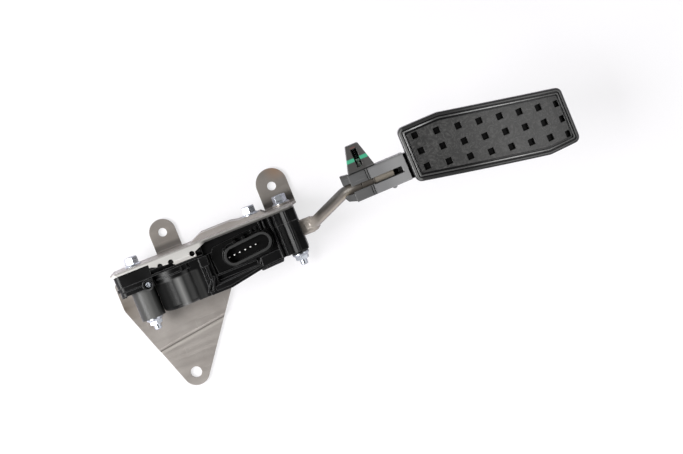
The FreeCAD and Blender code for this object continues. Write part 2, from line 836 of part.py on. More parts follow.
def hollow_housing(case):
    """Cut the pivot bore, the arm's channel, the holes and the slots out of the solid case."""
    front = housing_front_z + 5.0
    case = case.cut(round_y(bore_radius, pivot_x, pivot_z, bore_low_y, web_face_y))
    case = case.cut(round_y(bush_radius, pivot_x, pivot_z, barrel_end_y + bush_floor, web_face_y))
    case = case.cut(channel(channel_low_y, channel_high_y))
    case = case.cut(round_y(bolt_radius + bolt_gap, left_bolt_x, left_bolt_z, 0, web_face_y))
    case = case.cut(round_y(bolt_radius + bolt_gap, right_bolt_x, right_bolt_z, 0, web_face_y))
    case = case.cut(idle_stop())
    slot_span = (slot_low_y, slot_high_y)
    case = case.cut(block((slot_left_x, slot_right_x), slot_span, (recess_floor_z - 3.0, front)))
    notch_x = pivot_x + barrel_radius * 0.42
    notch_span = (cover_low_y - collar_ring_width, cover_low_y)
    case = case.cut(block((notch_x, notch_x + notch_width), notch_span, (case_top_z - notch_depth, front)))
    case = case.cut(round_z(screw_recess_radius, screw_x, screw_y, screw_seat_z, front))
    pilot_z = screw_seat_z - screw_length - 0.5
    case = case.cut(round_z(screw_radius + 0.1, screw_x, screw_y, pilot_z, front))
    case = case.cut(lip_room())
    groove_y = collar_low_y + collar_depth * 0.42
    groove_end_x = screw_x - screw_recess_radius - screw_recess_wall
    groove_span = (groove_y, groove_y + groove_width)
    groove_z = (case_top_z - groove_depth, front)
    return case.cut(block((housing_left_x - 2, groove_end_x), groove_span, groove_z))


def housing_cover():
    """Flat half of the case between the housing and the bracket's web."""
    plate = fused([
        cover_profile(cover_low_y, web_face_y),
        block_profile(cover_low_y, web_face_y),
    ])
    plate = plate.cut(round_y(bush_radius, pivot_x, pivot_z, cover_low_y - 1, web_face_y - bush_roof))
    for x, z in ((left_bolt_x, left_bolt_z), (right_bolt_x, right_bolt_z)):
        plate = plate.cut(round_y(bolt_radius + bolt_gap, x, z, 0, web_face_y + 1))
    low = cover_low_y + 1.2
    plate = plate.cut(round_y(bolt_radius + thread_gap, middle_bolt_x, middle_bolt_z, low, web_face_y + 1))
    rib_low, rib_high = cover_low_y + 2.4, web_face_y - 1.2
    for x in (block_left_x - 8.0, block_left_x - 4.6):
        rib = block((x, x + 1.0), (rib_low, rib_high), (recess_floor_z - 0.5, recess_floor_z + 2.6))
        plate = plate.fuse(rib)
    return plate.cut(lip_room()).cut(bend_room())


def housing_screw():
    """Small pan-head screw in the round recess of the collar."""
    top_z = screw_seat_z + screw_head_height
    head = round_z(screw_head_radius, screw_x, screw_y, screw_seat_z, top_z)
    head = head.makeFillet(0.8, [edge for edge in head.Edges if edge.BoundBox.ZMin > top_z - 0.01])
    shank = round_z(screw_radius, screw_x, screw_y, screw_seat_z - screw_length, screw_seat_z + 0.5)
    narrow = screw_cross / 2
    wide = screw_head_radius - 0.6
    depth = (top_z - screw_cross, top_z + 1)
    slot = block((screw_x - narrow, screw_x + narrow), (screw_y - wide, screw_y + wide), depth)
    cross = block((screw_x - wide, screw_x + wide), (screw_y - narrow, screw_y + narrow), depth)
    return fused([head, shank]).cut(slot).cut(cross)


def hex_prism(x, z, low, high, turn):
    """Hexagonal prism along Y with bevelled corners at both ends."""
    corner = hex_across_flats / 2 / math.cos(math.pi / 6)
    points = []
    for i in range(6):
        angle = math.radians(60 * i + turn)
        points.append((x + corner * math.cos(angle), z + corner * math.sin(angle)))
    bevel = turned_y([(0, low), (corner, low), (corner, high - 0.8), (corner - 1.1, high), (0, high)], x, z)
    return slab(points, "XZ", low, high).common(bevel)


def flange_bolt(x, z, face, tip_y, turn):
    """Flanged hexagon bolt whose head stands on a face of the web."""
    flange = turned_y([
        (0, face), (flange_radius, face), (flange_radius, face + 0.6),
        (flange_radius - flange_slope, face + flange_thickness), (0, face + flange_thickness),
    ], x, z)
    top = face + flange_thickness + hex_height
    head = hex_prism(x, z, face + flange_thickness - 0.2, top, turn)
    dish = turned_y([(0, top - 0.9), (2.4, top - 0.9), (3.2, top + 0.1), (0, top + 0.1)], x, z)
    shank = turned_y([
        (0, face + 0.5), (bolt_radius, face + 0.5), (bolt_radius, tip_y + 0.8),
        (bolt_radius - 0.8, tip_y), (0, tip_y),
    ], x, z)
    return fused([flange, head, shank]).cut(dish)


def flange_nut(x, z, seat_y, turn):
    """Flanged hexagon nut seated on the housing's lower end."""
    flange = turned_y([
        (0, seat_y), (flange_radius, seat_y), (flange_radius, seat_y - nut_flange_edge),
        (flange_radius - flange_slope, seat_y - nut_flange_edge - nut_flange_cone),
        (0, seat_y - nut_flange_edge - nut_flange_cone),
    ], x, z)
    body = hex_prism(x, z, -seat_y, -(seat_y - nut_height), turn)
    body = body.mirror(FreeCAD.Vector(0, 0, 0), along_y(1))
    nut = fused([flange, body])
    return nut.cut(round_y(bolt_radius + thread_gap, x, z, seat_y - nut_height - 1, seat_y + 1))


def pivot_bush(low, high):
    """Plain bush in which the pivot shaft turns."""
    return ring_y(shaft_radius + running_gap, bush_radius, pivot_x, pivot_z, low, high)


def pivot_shaft():
    """Steel pivot pin, pressed into the hub."""
    low = barrel_end_y + bush_floor + hub_gap
    high = web_face_y - bush_roof - hub_gap
    return turned_y([
        (0, low), (shaft_radius - 0.5, low), (shaft_radius, low + 0.5),
        (shaft_radius, high - 0.5), (shaft_radius - 0.5, high), (0, high),
    ], pivot_x, pivot_z)


def sector(inner, outer, start, end, low, high):
    """Part of a tube round the pivot, between two angles from X towards Z."""
    tube = ring_y(inner, outer, pivot_x, pivot_z, low, high)
    reach = outer * 3
    points = [(pivot_x, pivot_z)]
    for angle in (start, (start + end) / 2, end):
        turn = math.radians(angle)
        points.append((pivot_x + reach * math.cos(turn), pivot_z + reach * math.sin(turn)))
    return tube.common(slab(points, "XZ", low, high))


def friction_shoe():
    """Curved shoe on the hub that drags on the barrel's bore."""
    low, high = hub_low_y + shoe_end_gap, hub_high_y - shoe_end_gap
    return sector(hub_radius, hub_radius + shoe_thickness, shoe_start_angle, shoe_end_angle, low, high)


def rotor_magnet():
    """Magnet in the hub's rim, read by the sensor board."""
    high = hub_high_y - magnet_end_gap
    inner = hub_radius - magnet_depth
    return sector(inner, hub_radius, magnet_start_angle, magnet_end_angle, high - magnet_length, high)


def arm_hub():
    """Moulded hub on the pivot shaft, holding the flat end of the arm."""
    hub = round_y(hub_radius, pivot_x, pivot_z, hub_low_y, hub_high_y)
    for end_y in (hub_low_y, hub_high_y):
        low, high = end_y - hub_pocket_depth, end_y + hub_pocket_depth
        hub = hub.cut(ring_y(shaft_radius + 3.0, hub_radius - 4.0, pivot_x, pivot_z, low, high))
    hub = hub.cut(round_y(shaft_radius, pivot_x, pivot_z, 0, web_outer_y))
    hub = hub.cut(flat_bar())
    return hub.cut(rotor_magnet())


def flat_bar():
    """Flattened end of the arm, inside the housing and just beyond it."""
    half_y = bar_width / 2
    half_z = bar_thickness / 2
    section = [
        (arm_y - half_y, -half_z, bar_edge_radius), (arm_y + half_y, -half_z, bar_edge_radius),
        (arm_y + half_y, half_z, bar_edge_radius), (arm_y - half_y, half_z, bar_edge_radius),
    ]
    bar = slab(section, "YZ", 0, (bar_end_x - bar_start_x) / math.cos(math.radians(bar_rest_angle)))
    bar.rotate(FreeCAD.Vector(0, 0, 0), along_y(1), -bar_rest_angle)
    bar.translate(FreeCAD.Vector(bar_start_x, 0, bar_height(bar_start_x)))
    return bar


def foot_point(x, y, z):
    """Point of the foot end, turned into place."""
    turn = math.radians(foot_turn)
    turned_x = x * math.cos(turn) - y * math.sin(turn)
    return FreeCAD.Vector(turned_x, x * math.sin(turn) + y * math.cos(turn), z)


def foot_placed(shape):
    """Turn a shape of the foot end into place."""
    shape.rotate(FreeCAD.Vector(0, 0, 0), along_z(1), foot_turn)
    return shape


def rod_path(extra):
    """Centre line of the round rod: up from the bar's end, then level into the pad holder."""
    start = FreeCAD.Vector(bar_end_x - 5.0, arm_y, bar_height(bar_end_x - 5.0))
    corner_a = FreeCAD.Vector(bar_end_x + 1.0, arm_y, bar_height(bar_end_x + 1.0))
    corner_b = foot_point(rod_rise_x, rod_rise_y, rod_level_z)
    end = foot_point(rod_end_x + extra, rod_end_y, rod_level_z)
    radii = (rod_foot_radius, rod_bend_radius)
    points = [start, corner_a, corner_b, end]
    edges = []
    at = start
    for i in (1, 2):
        before = (points[i - 1] - points[i]).normalize()
        after = (points[i + 1] - points[i]).normalize()
        half = before.getAngle(after) / 2
        run = radii[i - 1] / math.tan(half)
        middle = (before + after).normalize()
        enter = points[i] + before * run
        leave = points[i] + after * run
        inside = points[i] + middle * (radii[i - 1] / math.sin(half) - radii[i - 1])
        edges.append(Part.LineSegment(at, enter).toShape())
        edges.append(Part.Arc(enter, inside, leave).toShape())
        at = leave
    edges.append(Part.LineSegment(at, end).toShape())
    return Part.Wire(edges)


def rod(radius, extra=0.0):
    """Round rod along the path, at a chosen radius and with a chosen extra length."""
    path = rod_path(extra)
    first = path.Edges[0]
    start = first.Vertexes[0].Point
    heading = first.tangentAt(first.FirstParameter)
    ring = Part.Wire([Part.makeCircle(radius, start, heading)])
    return path.makePipeShell([ring], True, False)


def bar_shoulder():
    """Rounded end of the flat bar, tapering to the rod."""
    levels = []
    sizes = (
        (-1.0, bar_width / 2, bar_thickness / 2, bar_edge_radius),
        (3.2, (bar_width / 2 + rod_radius) / 2, (bar_thickness / 2 + rod_radius) / 2, 3.2),
        (5.6, rod_radius * 0.8, rod_radius * 0.8, rod_radius * 0.76),
    )
    for run, half_y, half_z, radius in sizes:
        x = bar_end_x + run
        z = bar_height(x)
        levels.append(outline([
            (arm_y - half_y, z - half_z, radius), (arm_y + half_y, z - half_z, radius),
            (arm_y + half_y, z + half_z, radius), (arm_y - half_y, z + half_z, radius),
        ], "YZ", x))
    return Part.makeLoft(levels, True, True)


def rod_dents():
    """Cone for the plunger's tip and two shallow rings, cut into the rod inside the holder."""
    low, high = rod_side_y - dent_depth, rod_side_y + 1.5
    dents = [turned_y([(0, low), (0.9, low), (2.6, high), (0, high)], tower_x, plunger_z)]
    for x in (tower_x - ring_groove_offset, tower_x + ring_groove_offset):
        start = FreeCAD.Vector(x, rod_end_y, rod_level_z)
        ring = Part.makeCylinder(rod_radius + 1, ring_groove_width, start, along_x(1))
        core = Part.makeCylinder(rod_radius - ring_groove_depth, ring_groove_width, start, along_x(1))
        dents.append(ring.cut(core))
    return [foot_placed(dent) for dent in dents]


def pedal_arm():
    """Steel arm: a flattened bar that turns into a bent round rod."""
    arm = fused([flat_bar(), bar_shoulder(), rod(rod_radius)])
    arm = arm.cut(round_y(shaft_radius + 1.0, pivot_x, pivot_z, 0, web_outer_y))
    for dent in rod_dents():
        arm = arm.cut(dent)
    return arm


def spring_seat():
    """Moulded cup under the bar that centres the return springs."""
    top = bar_under(spring_x)
    cup = round_z(outer_spring_radius + 1.0, spring_x, arm_y, top - spring_seat_thickness, top + 2.0)
    spigot = round_z(inner_spring_radius - 1.0, spring_x, arm_y, top - spring_seat_thickness - 2.0, top)
    reach = outer_spring_radius * 3
    bar_room = block((-reach, reach), (-reach, reach), (0, reach))
    bar_room.rotate(FreeCAD.Vector(0, 0, 0), along_y(1), -bar_rest_angle)
    bar_room.translate(FreeCAD.Vector(spring_x, arm_y, top))
    return fused([cup, spigot]).cut(bar_room)


def coil(radius, wire, low, high, turns, centre, axis_is_y=False):
    """Helical spring of nearly round wire."""
    height = high - low
    pitch = (height - wire) / turns
    helix = Part.makeHelix(pitch, height - wire, radius)
    corners = []
    for i in range(8):
        angle = math.radians(45 * i + 22.5)
        reach = wire / 2 / math.cos(math.radians(22.5))
        corners.append(FreeCAD.Vector(radius + reach * math.cos(angle), 0, reach * math.sin(angle)))
    section = Part.makePolygon(corners + [corners[0]])
    spring = Part.Wire(helix.Edges).makePipeShell([section], True, True)
    spring.translate(along_z(wire / 2))
    if axis_is_y:
        spring.rotate(FreeCAD.Vector(0, 0, 0), along_x(1), -90)
        spring.translate(FreeCAD.Vector(centre[0], low, centre[1]))
    else:
        spring.translate(FreeCAD.Vector(centre[0], centre[1], low))
    return spring


def return_spring(radius, wire):
    """Return spring between the housing's floor and the cup under the bar."""
    top = bar_under(spring_x) - spring_seat_thickness
    return coil(radius, wire, channel_floor_z, top, spring_turns, (spring_x, arm_y))


def turned_connector(shape):
    """Turn a shape with the connector about its own centre."""
    shape.rotate(FreeCAD.Vector(connector_x, connector_y, 0), along_z(1), connector_turn)
    return shape


def oval(length, width, low, high):
    """Oval prism centred on the connector."""
    half_x, half_y = length / 2, width / 2
    corners = [
        (connector_x - half_x, connector_y - half_y, half_y - 0.01),
        (connector_x + half_x, connector_y - half_y, half_y - 0.01),
        (connector_x + half_x, connector_y + half_y, half_y - 0.01),
        (connector_x - half_x, connector_y + half_y, half_y - 0.01),
    ]
    return slab(corners, "XY", low, high)


def pin_x(index):
    return connector_x + pin_offset + (index - (pin_count - 1) / 2) * pin_pitch


def terminal_pin(index):
    """Flat contact blade that stands in the connector's socket."""
    low = recess_floor_z + sensor_base_thickness - pin_root
    high = recess_floor_z + sensor_base_thickness + pin_height
    x = pin_x(index)
    half = pin_width / 2
    flat = pin_thickness / 2
    blade = block((x - half, x + half), (connector_y - flat, connector_y + flat), (low, high))
    blade = blade.makeChamfer(pin_point, [edge for edge in blade.Edges if edge.BoundBox.ZMin > high - 0.01])
    return turned_connector(blade)


def board_box(drop=0.0):
    """Space of the circuit board, reaching down by a drop."""
    half_x, half_y = board_length / 2, board_width / 2
    low = recess_floor_z + board_floor
    return turned_connector(block(
        (connector_x - half_x, connector_x + half_x), (connector_y - half_y, connector_y + half_y),
        (low - drop, low + board_thickness)))


def sensor_board():
    """Circuit board under the connector, with its position sensor facing the magnet."""
    board = board_box()
    for index in range(pin_count):
        board = board.cut(terminal_pin(index))
    return board


def sensor_connector():
    """Sensor body with an oval plug socket, lock ramp and guide rib."""
    base_z = recess_floor_z + sensor_base_thickness
    rim_z = recess_floor_z + connector_height
    left, right = slot_left_x + sensor_base_gap, block_left_x - sensor_base_end_gap
    low, high = connector_y - sensor_base_low, connector_y + sensor_base_high
    base = slab([
        (left, low, 2.0), (right, low, 2.0), (right, high, 2.0), (left + sensor_base_step, high, 3.0),
        (left, high - sensor_base_slant, 2.0),
    ], "XY", recess_floor_z, base_z - 1.6)
    step_size = 2 * shroud_step
    step = oval(connector_length + step_size, connector_width + step_size, recess_floor_z, base_z)
    shroud = oval(connector_length, connector_width, base_z - 1, rim_z)
    root_y, reach_y = connector_y + ramp_root, connector_y + ramp_reach
    ramp_x = connector_x + ramp_offset
    ramp = slab([
        (root_y, base_z - 1), (reach_y, base_z - 1), (reach_y - 0.8, rim_z - 2.0, 0.5), (root_y, rim_z - 0.8),
    ], "YZ", ramp_x - ramp_width / 2, ramp_x + ramp_width / 2)
    ramp_gap = block((ramp_x - ramp_gap_width / 2, ramp_x + ramp_gap_width / 2),
                     (root_y + 1.2, reach_y + 1.6), (base_z - 1.5, rim_z + 2))
    guide_x = connector_x + guide_offset
    guide = block((guide_x - guide_width / 2, guide_x + guide_width / 2),
                  (connector_y + guide_low, connector_y + guide_high), (base_z - 1, rim_z - 1.5))
    half = post_thickness / 2
    posts = [block((connector_x + spot - half, connector_x + spot + half),
                   (connector_y + post_low, connector_y + post_high), (base_z - 2, base_z + post_height))
             for spot in post_spots]
    body = turned_connector(fused([base, step, shroud, guide] + posts))
    body = fused([body, turned_connector(ramp.cut(ramp_gap))])
    wall_size = 2 * connector_wall
    socket = oval(connector_length - wall_size, connector_width - wall_size, base_z, rim_z + 1)
    body = body.cut(turned_connector(socket)).cut(board_box(board_floor + 0.3))
    for index in range(pin_count):
        body = body.cut(terminal_pin(index))
    far = connector_x + connector_length * 2
    trim_right = block((block_left_x + 0.2, far), (0, far), (0, far))
    trim_low = block((0, far), (0, slot_high_y + 1.4), (0, far))
    trim_high = block((block_left_x - 9.0, far), (cover_low_y + 1.6, far), (0, far))
    return body.cut(trim_right).cut(trim_low).cut(trim_high)


def pad_holder():
    """Moulded holder clamped on the rod, with the tower of the locking plunger."""
    main = slab([
        (holder_low_y, holder_base_z, 2.0), (holder_high_y, holder_base_z, 2.0),
        (holder_high_y, holder_top_z, 1.2), (holder_low_y, holder_top_z, 1.2),
    ], "YZ", holder_left_x, holder_right_x)
    rail_z = (holder_base_z + 5, holder_top_z - 0.6)
    left = holder_left_x
    upper_rail = slab([
        (left - 5.9, holder_high_y - 6.2, 0.5), (left + 0.5, holder_high_y - 6.2),
        (left + 0.5, holder_high_y + 0.6), (left - 5.9, holder_high_y + 1.4, 0.8),
    ], "XY", *rail_z)
    lower_rail = slab([
        (left - 8.1, holder_low_y + 6.4, 0.6), (left - 6.3, holder_low_y + 3.0, 0.8),
        (left + 0.5, holder_low_y + 0.6), (left + 0.5, holder_low_y + 6.8),
        (left - 5.9, holder_low_y + 7.4, 0.6),
    ], "XY", *rail_z)
    tower = slab([
        (tower_x - tower_base_half, holder_high_y - 1.5), (tower_x + tower_base_half, holder_high_y - 1.5),
        (tower_x + tower_top_half, tower_top_y, 0.8), (tower_x - tower_top_half, tower_top_y, 0.8),
    ], "XY", holder_top_z - tower_depth, holder_top_z - tower_step)
    nib = round_z(2.2, holder_right_x - 14.5, holder_low_y + 0.8, holder_base_z + 6, holder_top_z - 2.0)
    body = fused([main, upper_rail, lower_rail, tower, nib])
    slot_half = holder_slot_width / 2
    slot_span = (rod_end_y - slot_half, rod_end_y + slot_half)
    body = body.cut(block((left - 16, holder_slot_end_x), slot_span, (rod_level_z, holder_top_z + 1)))
    window = block((tower_x - window_half, tower_x + window_half), (window_low_y, window_high_y),
                   (holder_top_z - window_depth, holder_top_z + 1))
    body = body.cut(window)
    body = body.cut(round_y(plunger_radius + running_gap, tower_x, plunger_z, rod_end_y, window_low_y + 1))
    groove_z = (holder_top_z - clamp_groove_depth, holder_top_z + 1)
    for offset in clamp_groove_offsets:
        x = tower_x + offset
        groove = block((x, x + clamp_groove_width), (holder_low_y - 1, holder_high_y + 1), groove_z)
        body = body.cut(groove)
    under = slab([
        (left + 4, holder_low_y + 3, 1.5), (holder_right_x - 4, holder_low_y + 3, 1.5),
        (holder_right_x - 4, holder_high_y - 3, 1.5), (left + 4, holder_high_y - 3, 1.5),
    ], "XY", holder_base_z - 1, holder_base_z + 2.2)
    return foot_placed(body.cut(under)).cut(rod(rod_radius + rod_fit_gap, 4.0))


def lock_plunger():
    """Turned locking pin whose cone sits in the rod's dimple."""
    tip = rod_side_y - dent_depth + plunger_tip_gap
    body_start = tip + 2.6
    shoulder = window_low_y + 1.6
    profile = [
        (0, tip), (0.6, tip), (plunger_radius, body_start), (plunger_radius, shoulder),
        (plunger_radius - 0.8, shoulder + 0.6), (plunger_radius - 0.8, shoulder + 2.4),
        (plunger_radius - 0.3, shoulder + 2.8), (plunger_radius - 0.3, shoulder + 4.4), (0, shoulder + 4.4),
    ]
    return foot_placed(turned_y(profile, tower_x, plunger_z))


def plunger_spring():
    """Small spring between the plunger's head and the top of the tower's window."""
    low = window_low_y + 6.0
    centre = (tower_x, plunger_z)
    return foot_placed(coil(plunger_spring_radius, plunger_spring_wire, low, window_high_y, 5, centre, True))


def pad_corners(inset):
    """Six corners of the pad's outline, moved inwards by an inset."""
    radius = max(pad_corner_radius - inset, 1.2)
    points = [
        (pad_left_x, pad_left_low_y), (pad_low_bend_x, pad_right_low_y), (pad_right_x, pad_right_low_y),
        (pad_right_x, pad_right_high_y), (pad_high_bend_x, pad_left_high_y), (pad_left_x, pad_left_high_y),
    ]
    count = len(points)
    lines = []
    for i in range(count):
        (ax, ay), (bx, by) = points[i], points[(i + 1) % count]
        length = math.hypot(bx - ax, by - ay)
        normal = (-(by - ay) / length, (bx - ax) / length)
        lines.append((normal, normal[0] * ax + normal[1] * ay + inset))
    corners = []
    for i in range(count):
        (a, b), c = lines[i - 1]
        (d, e), f = lines[i]
        scale = a * e - b * d
        soft = pad_bend_radius if i in (1, 4) else radius
        corners.append(((c * e - b * f) / scale, (a * f - c * d) / scale, soft))
    return corners


def pad_layer(inset, top_drop, low_drop):
    """Curved layer of the pad between two depths below its face."""
    low_y, high_y = pad_right_low_y - 10, pad_left_high_y + 10
    prism = slab(pad_corners(inset), "XY", 0, pad_top_z + 20)
    outer = round_y(pad_radius - top_drop, pad_centre_x, pad_centre_z, low_y, high_y)
    inner = round_y(pad_radius - low_drop, pad_centre_x, pad_centre_z, low_y, high_y)
    return prism.common(outer.cut(inner))


def dimple(column, row):
    """Square pit in the pad's face, square to the curved surface."""
    angle = dimple_first_angle + column * dimple_pitch_angle
    turn = math.radians(angle)
    half = dimple_size / 2
    level = pad_radius - rim_height
    pit = block((-half, half), (-half, half), (-dimple_depth, 2.0))
    pit.rotate(FreeCAD.Vector(0, 0, 0), along_y(1), angle)
    y = dimple_first_y - row * dimple_row_pitch - column * dimple_column_shift
    x, z = pad_centre_x + level * math.sin(turn), pad_centre_z + level * math.cos(turn)
    pit.translate(FreeCAD.Vector(x, y, z))
    return pit


def rim_groove(inset, depth):
    """Narrow groove that runs round the pad's rim."""
    return pad_layer(inset, -2, depth).cut(pad_layer(inset + rim_groove_width, -3, depth + 1))


def pad_cover():
    """Rubber cover: stepped rim, dimpled face and a skirt round the carrier."""
    cover = pad_layer(0, 0, cover_skirt)
    pocket = pad_layer(cover_side, cover_face, cover_skirt + 2)
    face_cut = pad_layer(rim_width, -2, rim_height)
    cover = cover.cut(pocket).cut(face_cut)
    cover = cover.cut(rim_groove(outer_groove_inset, outer_groove_depth))
    cover = cover.cut(rim_groove(inner_groove_inset, inner_groove_depth))
    pits = [dimple(column, row) for column in range(dimple_columns) for row in range(dimple_rows)]
    return foot_placed(cover.cut(Part.makeCompound(pits)))


def pad_carrier():
    """Stiff plate under the cover, with two ribs and the neck that meets the holder."""
    plate = pad_layer(cover_side, cover_face, cover_face + carrier_thickness)
    depth = cover_face + carrier_thickness
    low_y, high_y = pad_right_low_y - 10, pad_left_high_y + 10
    under = pad_radius - depth + 0.5
    band = ring_y(under - 5.5, under, pad_centre_x, pad_centre_z, low_y, high_y)
    ribs = []
    for share in (0.3, 0.7):
        left_y = pad_left_low_y + (pad_left_high_y - pad_left_low_y) * share
        right_y = pad_right_low_y + (pad_right_high_y - pad_right_low_y) * share
        half = carrier_rib / 2
        rib = slab([
            (pad_left_x + 12, left_y - half), (pad_right_x - 14, right_y - half),
            (pad_right_x - 14, right_y + half), (pad_left_x + 12, left_y + half),
        ], "XY", 0, pad_top_z)
        ribs.append(rib.common(band))
    neck_top = pad_top_z - cover_skirt - 0.4
    neck_end = holder_right_x + neck_length
    neck = slab([
        (holder_right_x, holder_low_y + 0.2, 0.8), (neck_end, holder_low_y + 2, 3.0),
        (neck_end, holder_high_y - 2, 3.0), (holder_right_x, holder_high_y - 0.8, 0.8),
    ], "XY", neck_top - neck_depth, neck_top)
    riser_x = pad_left_x + cover_side + 0.6
    riser = slab([
        (riser_x, holder_low_y + 2), (neck_end, holder_low_y + 2, 3.0),
        (neck_end, holder_high_y - 2, 3.0), (riser_x, holder_high_y - 2),
    ], "XY", neck_top - 1, pad_top_z)
    inside = round_y(under, pad_centre_x, pad_centre_z, low_y, high_y)
    return foot_placed(fused([plate, neck, riser.common(inside)] + ribs))


def build():
    bolt_tip_left = boss_end_y - nut_height - stud_end
    bolt_tip_right = nut_boss_y - nut_height - stud_end
    parts = {
        "mounting_bracket": mounting_bracket(),
        "pedal_housing": pedal_housing(),
        "housing_cover": housing_cover(),
        "housing_screw": housing_screw(),
        "flange_bolt_left": flange_bolt(left_bolt_x, left_bolt_z, web_outer_y, bolt_tip_left, left_bolt_turn),
        "flange_bolt_middle": flange_bolt(middle_bolt_x, middle_bolt_z, bolt_seat_y, cover_low_y + 1.6,
                                          middle_bolt_turn),
        "flange_bolt_right": flange_bolt(right_bolt_x, right_bolt_z, ear_seat_y, bolt_tip_right,
                                         right_bolt_turn),
        "flange_nut_left": flange_nut(left_bolt_x, left_bolt_z, boss_end_y, left_nut_turn),
        "flange_nut_right": flange_nut(right_bolt_x, right_bolt_z, nut_boss_y, right_nut_turn),
        "lower_pivot_bush": pivot_bush(barrel_end_y + bush_floor, hub_low_y - hub_gap),
        "upper_pivot_bush": pivot_bush(hub_high_y + hub_gap, web_face_y - bush_roof),
        "idle_stop": idle_stop(),
        "travel_stop": travel_stop(),
        "sensor_connector": sensor_connector(),
        "sensor_board": sensor_board(),
        "pivot_shaft": pivot_shaft(),
        "arm_hub": arm_hub(),
        "friction_shoe": friction_shoe(),
        "rotor_magnet": rotor_magnet(),
        "pedal_arm": pedal_arm(),
        "spring_seat": spring_seat(),
        "outer_return_spring": return_spring(outer_spring_radius, outer_spring_wire),
        "inner_return_spring": return_spring(inner_spring_radius, inner_spring_wire),
        "pad_holder": pad_holder(),
        "lock_plunger": lock_plunger(),
        "plunger_spring": plunger_spring(),
        "pad_carrier": pad_carrier(),
        "pad_cover": pad_cover(),
    }
    for index in range(pin_count):
        parts["terminal_pin_" + str(index + 1)] = terminal_pin(index)
    return parts


os.makedirs("parts", exist_ok=True)
for name, shape in build().items():
    shape.exportStep("parts/" + name + ".step")
    print(name, "solids", len(shape.Solids), "volume", round(shape.Volume, 1), "valid", shape.isValid())
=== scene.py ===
import json
import math

import bmesh
import bpy
import numpy as np
from mathutils import Matrix, Vector


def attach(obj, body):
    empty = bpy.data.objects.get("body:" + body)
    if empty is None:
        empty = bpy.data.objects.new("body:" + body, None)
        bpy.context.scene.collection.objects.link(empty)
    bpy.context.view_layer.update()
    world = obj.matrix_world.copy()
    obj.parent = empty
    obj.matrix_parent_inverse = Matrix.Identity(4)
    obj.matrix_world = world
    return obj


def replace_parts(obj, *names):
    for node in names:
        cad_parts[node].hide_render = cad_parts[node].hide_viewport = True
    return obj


# An accelerator pedal lying on its back on a white table, seen from above and a little to one side.
# Lengths are millimetres here, and metres in Blender's meshes, bumps, lamps and camera.

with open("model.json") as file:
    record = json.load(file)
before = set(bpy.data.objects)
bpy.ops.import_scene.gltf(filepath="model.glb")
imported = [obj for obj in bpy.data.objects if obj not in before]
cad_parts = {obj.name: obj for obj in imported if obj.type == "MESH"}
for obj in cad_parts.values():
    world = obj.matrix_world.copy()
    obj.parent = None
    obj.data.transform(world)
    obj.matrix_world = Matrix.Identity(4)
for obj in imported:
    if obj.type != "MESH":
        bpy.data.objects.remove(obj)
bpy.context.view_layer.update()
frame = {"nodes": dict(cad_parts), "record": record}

MM = 0.001

# The foot end stands at this angle to the bracket, turned outwards about the origin
foot_turn = math.radians(1.25)

# Pad: the same driving sizes as the solid
pad_left_x, pad_right_x = 222.5, 355.0
pad_left_y = (80.9, 124.0)
pad_right_y = (58.2, 102.9)
pad_high_bend_x, pad_low_bend_x = 256.0, 327.0
pad_radius = 315.0
pad_start_angle = math.radians(3.0)
pad_top_z = 102.0
pad_centre_x = pad_left_x - pad_radius * math.sin(pad_start_angle)
pad_centre_z = pad_top_z - pad_radius * math.cos(pad_start_angle)
pad_corner, least_corner = 5.0, 1.2
pad_bend_round = 14.0
rim_width = 6.4
rim_height = 0.7
skirt = 9.0
wall = 2.5
face_thickness = 4.0
face_inset = rim_width - 0.4

# Square pits in the pad's face
pit_columns, pit_rows = 8, 3
pit_first_angle, pit_pitch_angle = math.radians(5.13), math.radians(3.07)
pit_first_y, pit_row_pitch, pit_column_shift = 114.4, 12.55, 3.14
pit_size, pit_depth, pit_wall = 5.2, 2.2, 0.35

# How finely the pad is drawn: steps round a corner, the rim's longest step, grid lines between pits and across one
corner_steps = 6
rim_step = 7.0
lines_between_pits, lines_across_pit = 6, 3

# Profile of the cover's edge as (inset, depth): skirt, rounded bead, groove, ridge, groove, lip, face, underside
rim_profile = [
    (wall, skirt), (0.3, skirt), (0.0, skirt - 0.3), (0.0, 1.7), (0.1, 1.15), (0.35, 0.7), (0.75, 0.38), (1.2, 0.2),
    (1.7, 0.14), (2.3, 0.2), (2.75, 0.38), (2.9, 0.6), (2.95, 1.3), (3.35, 1.3), (3.4, 0.55), (3.6, 0.25),
    (3.9, 0.06), (4.25, 0.0), (4.6, 0.06), (4.9, 0.25), (5.05, 0.5), (5.1, 1.35), (5.55, 1.35), (5.6, 0.6), (5.8, 0.5),
    (6.1, 0.52), (rim_width, 0.62), (rim_width + 0.1, rim_height + 0.5), (rim_width + 0.1, face_thickness),
    (wall, face_thickness),
]


# Meshes from arrays

def grid_faces(rows, columns, closed_rows=False, closed_columns=False):
    """Quads of a grid of rows x columns points, counted row by row, with either direction closed into a ring."""
    i = np.arange(rows if closed_rows else rows - 1)
    j = np.arange(columns if closed_columns else columns - 1)
    i, j = np.meshgrid(i, j, indexing="ij")
    next_i, next_j = (i + 1) % rows, (j + 1) % columns
    quads = [i * columns + j, next_i * columns + j, next_i * columns + next_j, i * columns + next_j]
    return np.stack([quad.ravel() for quad in quads], axis=1)


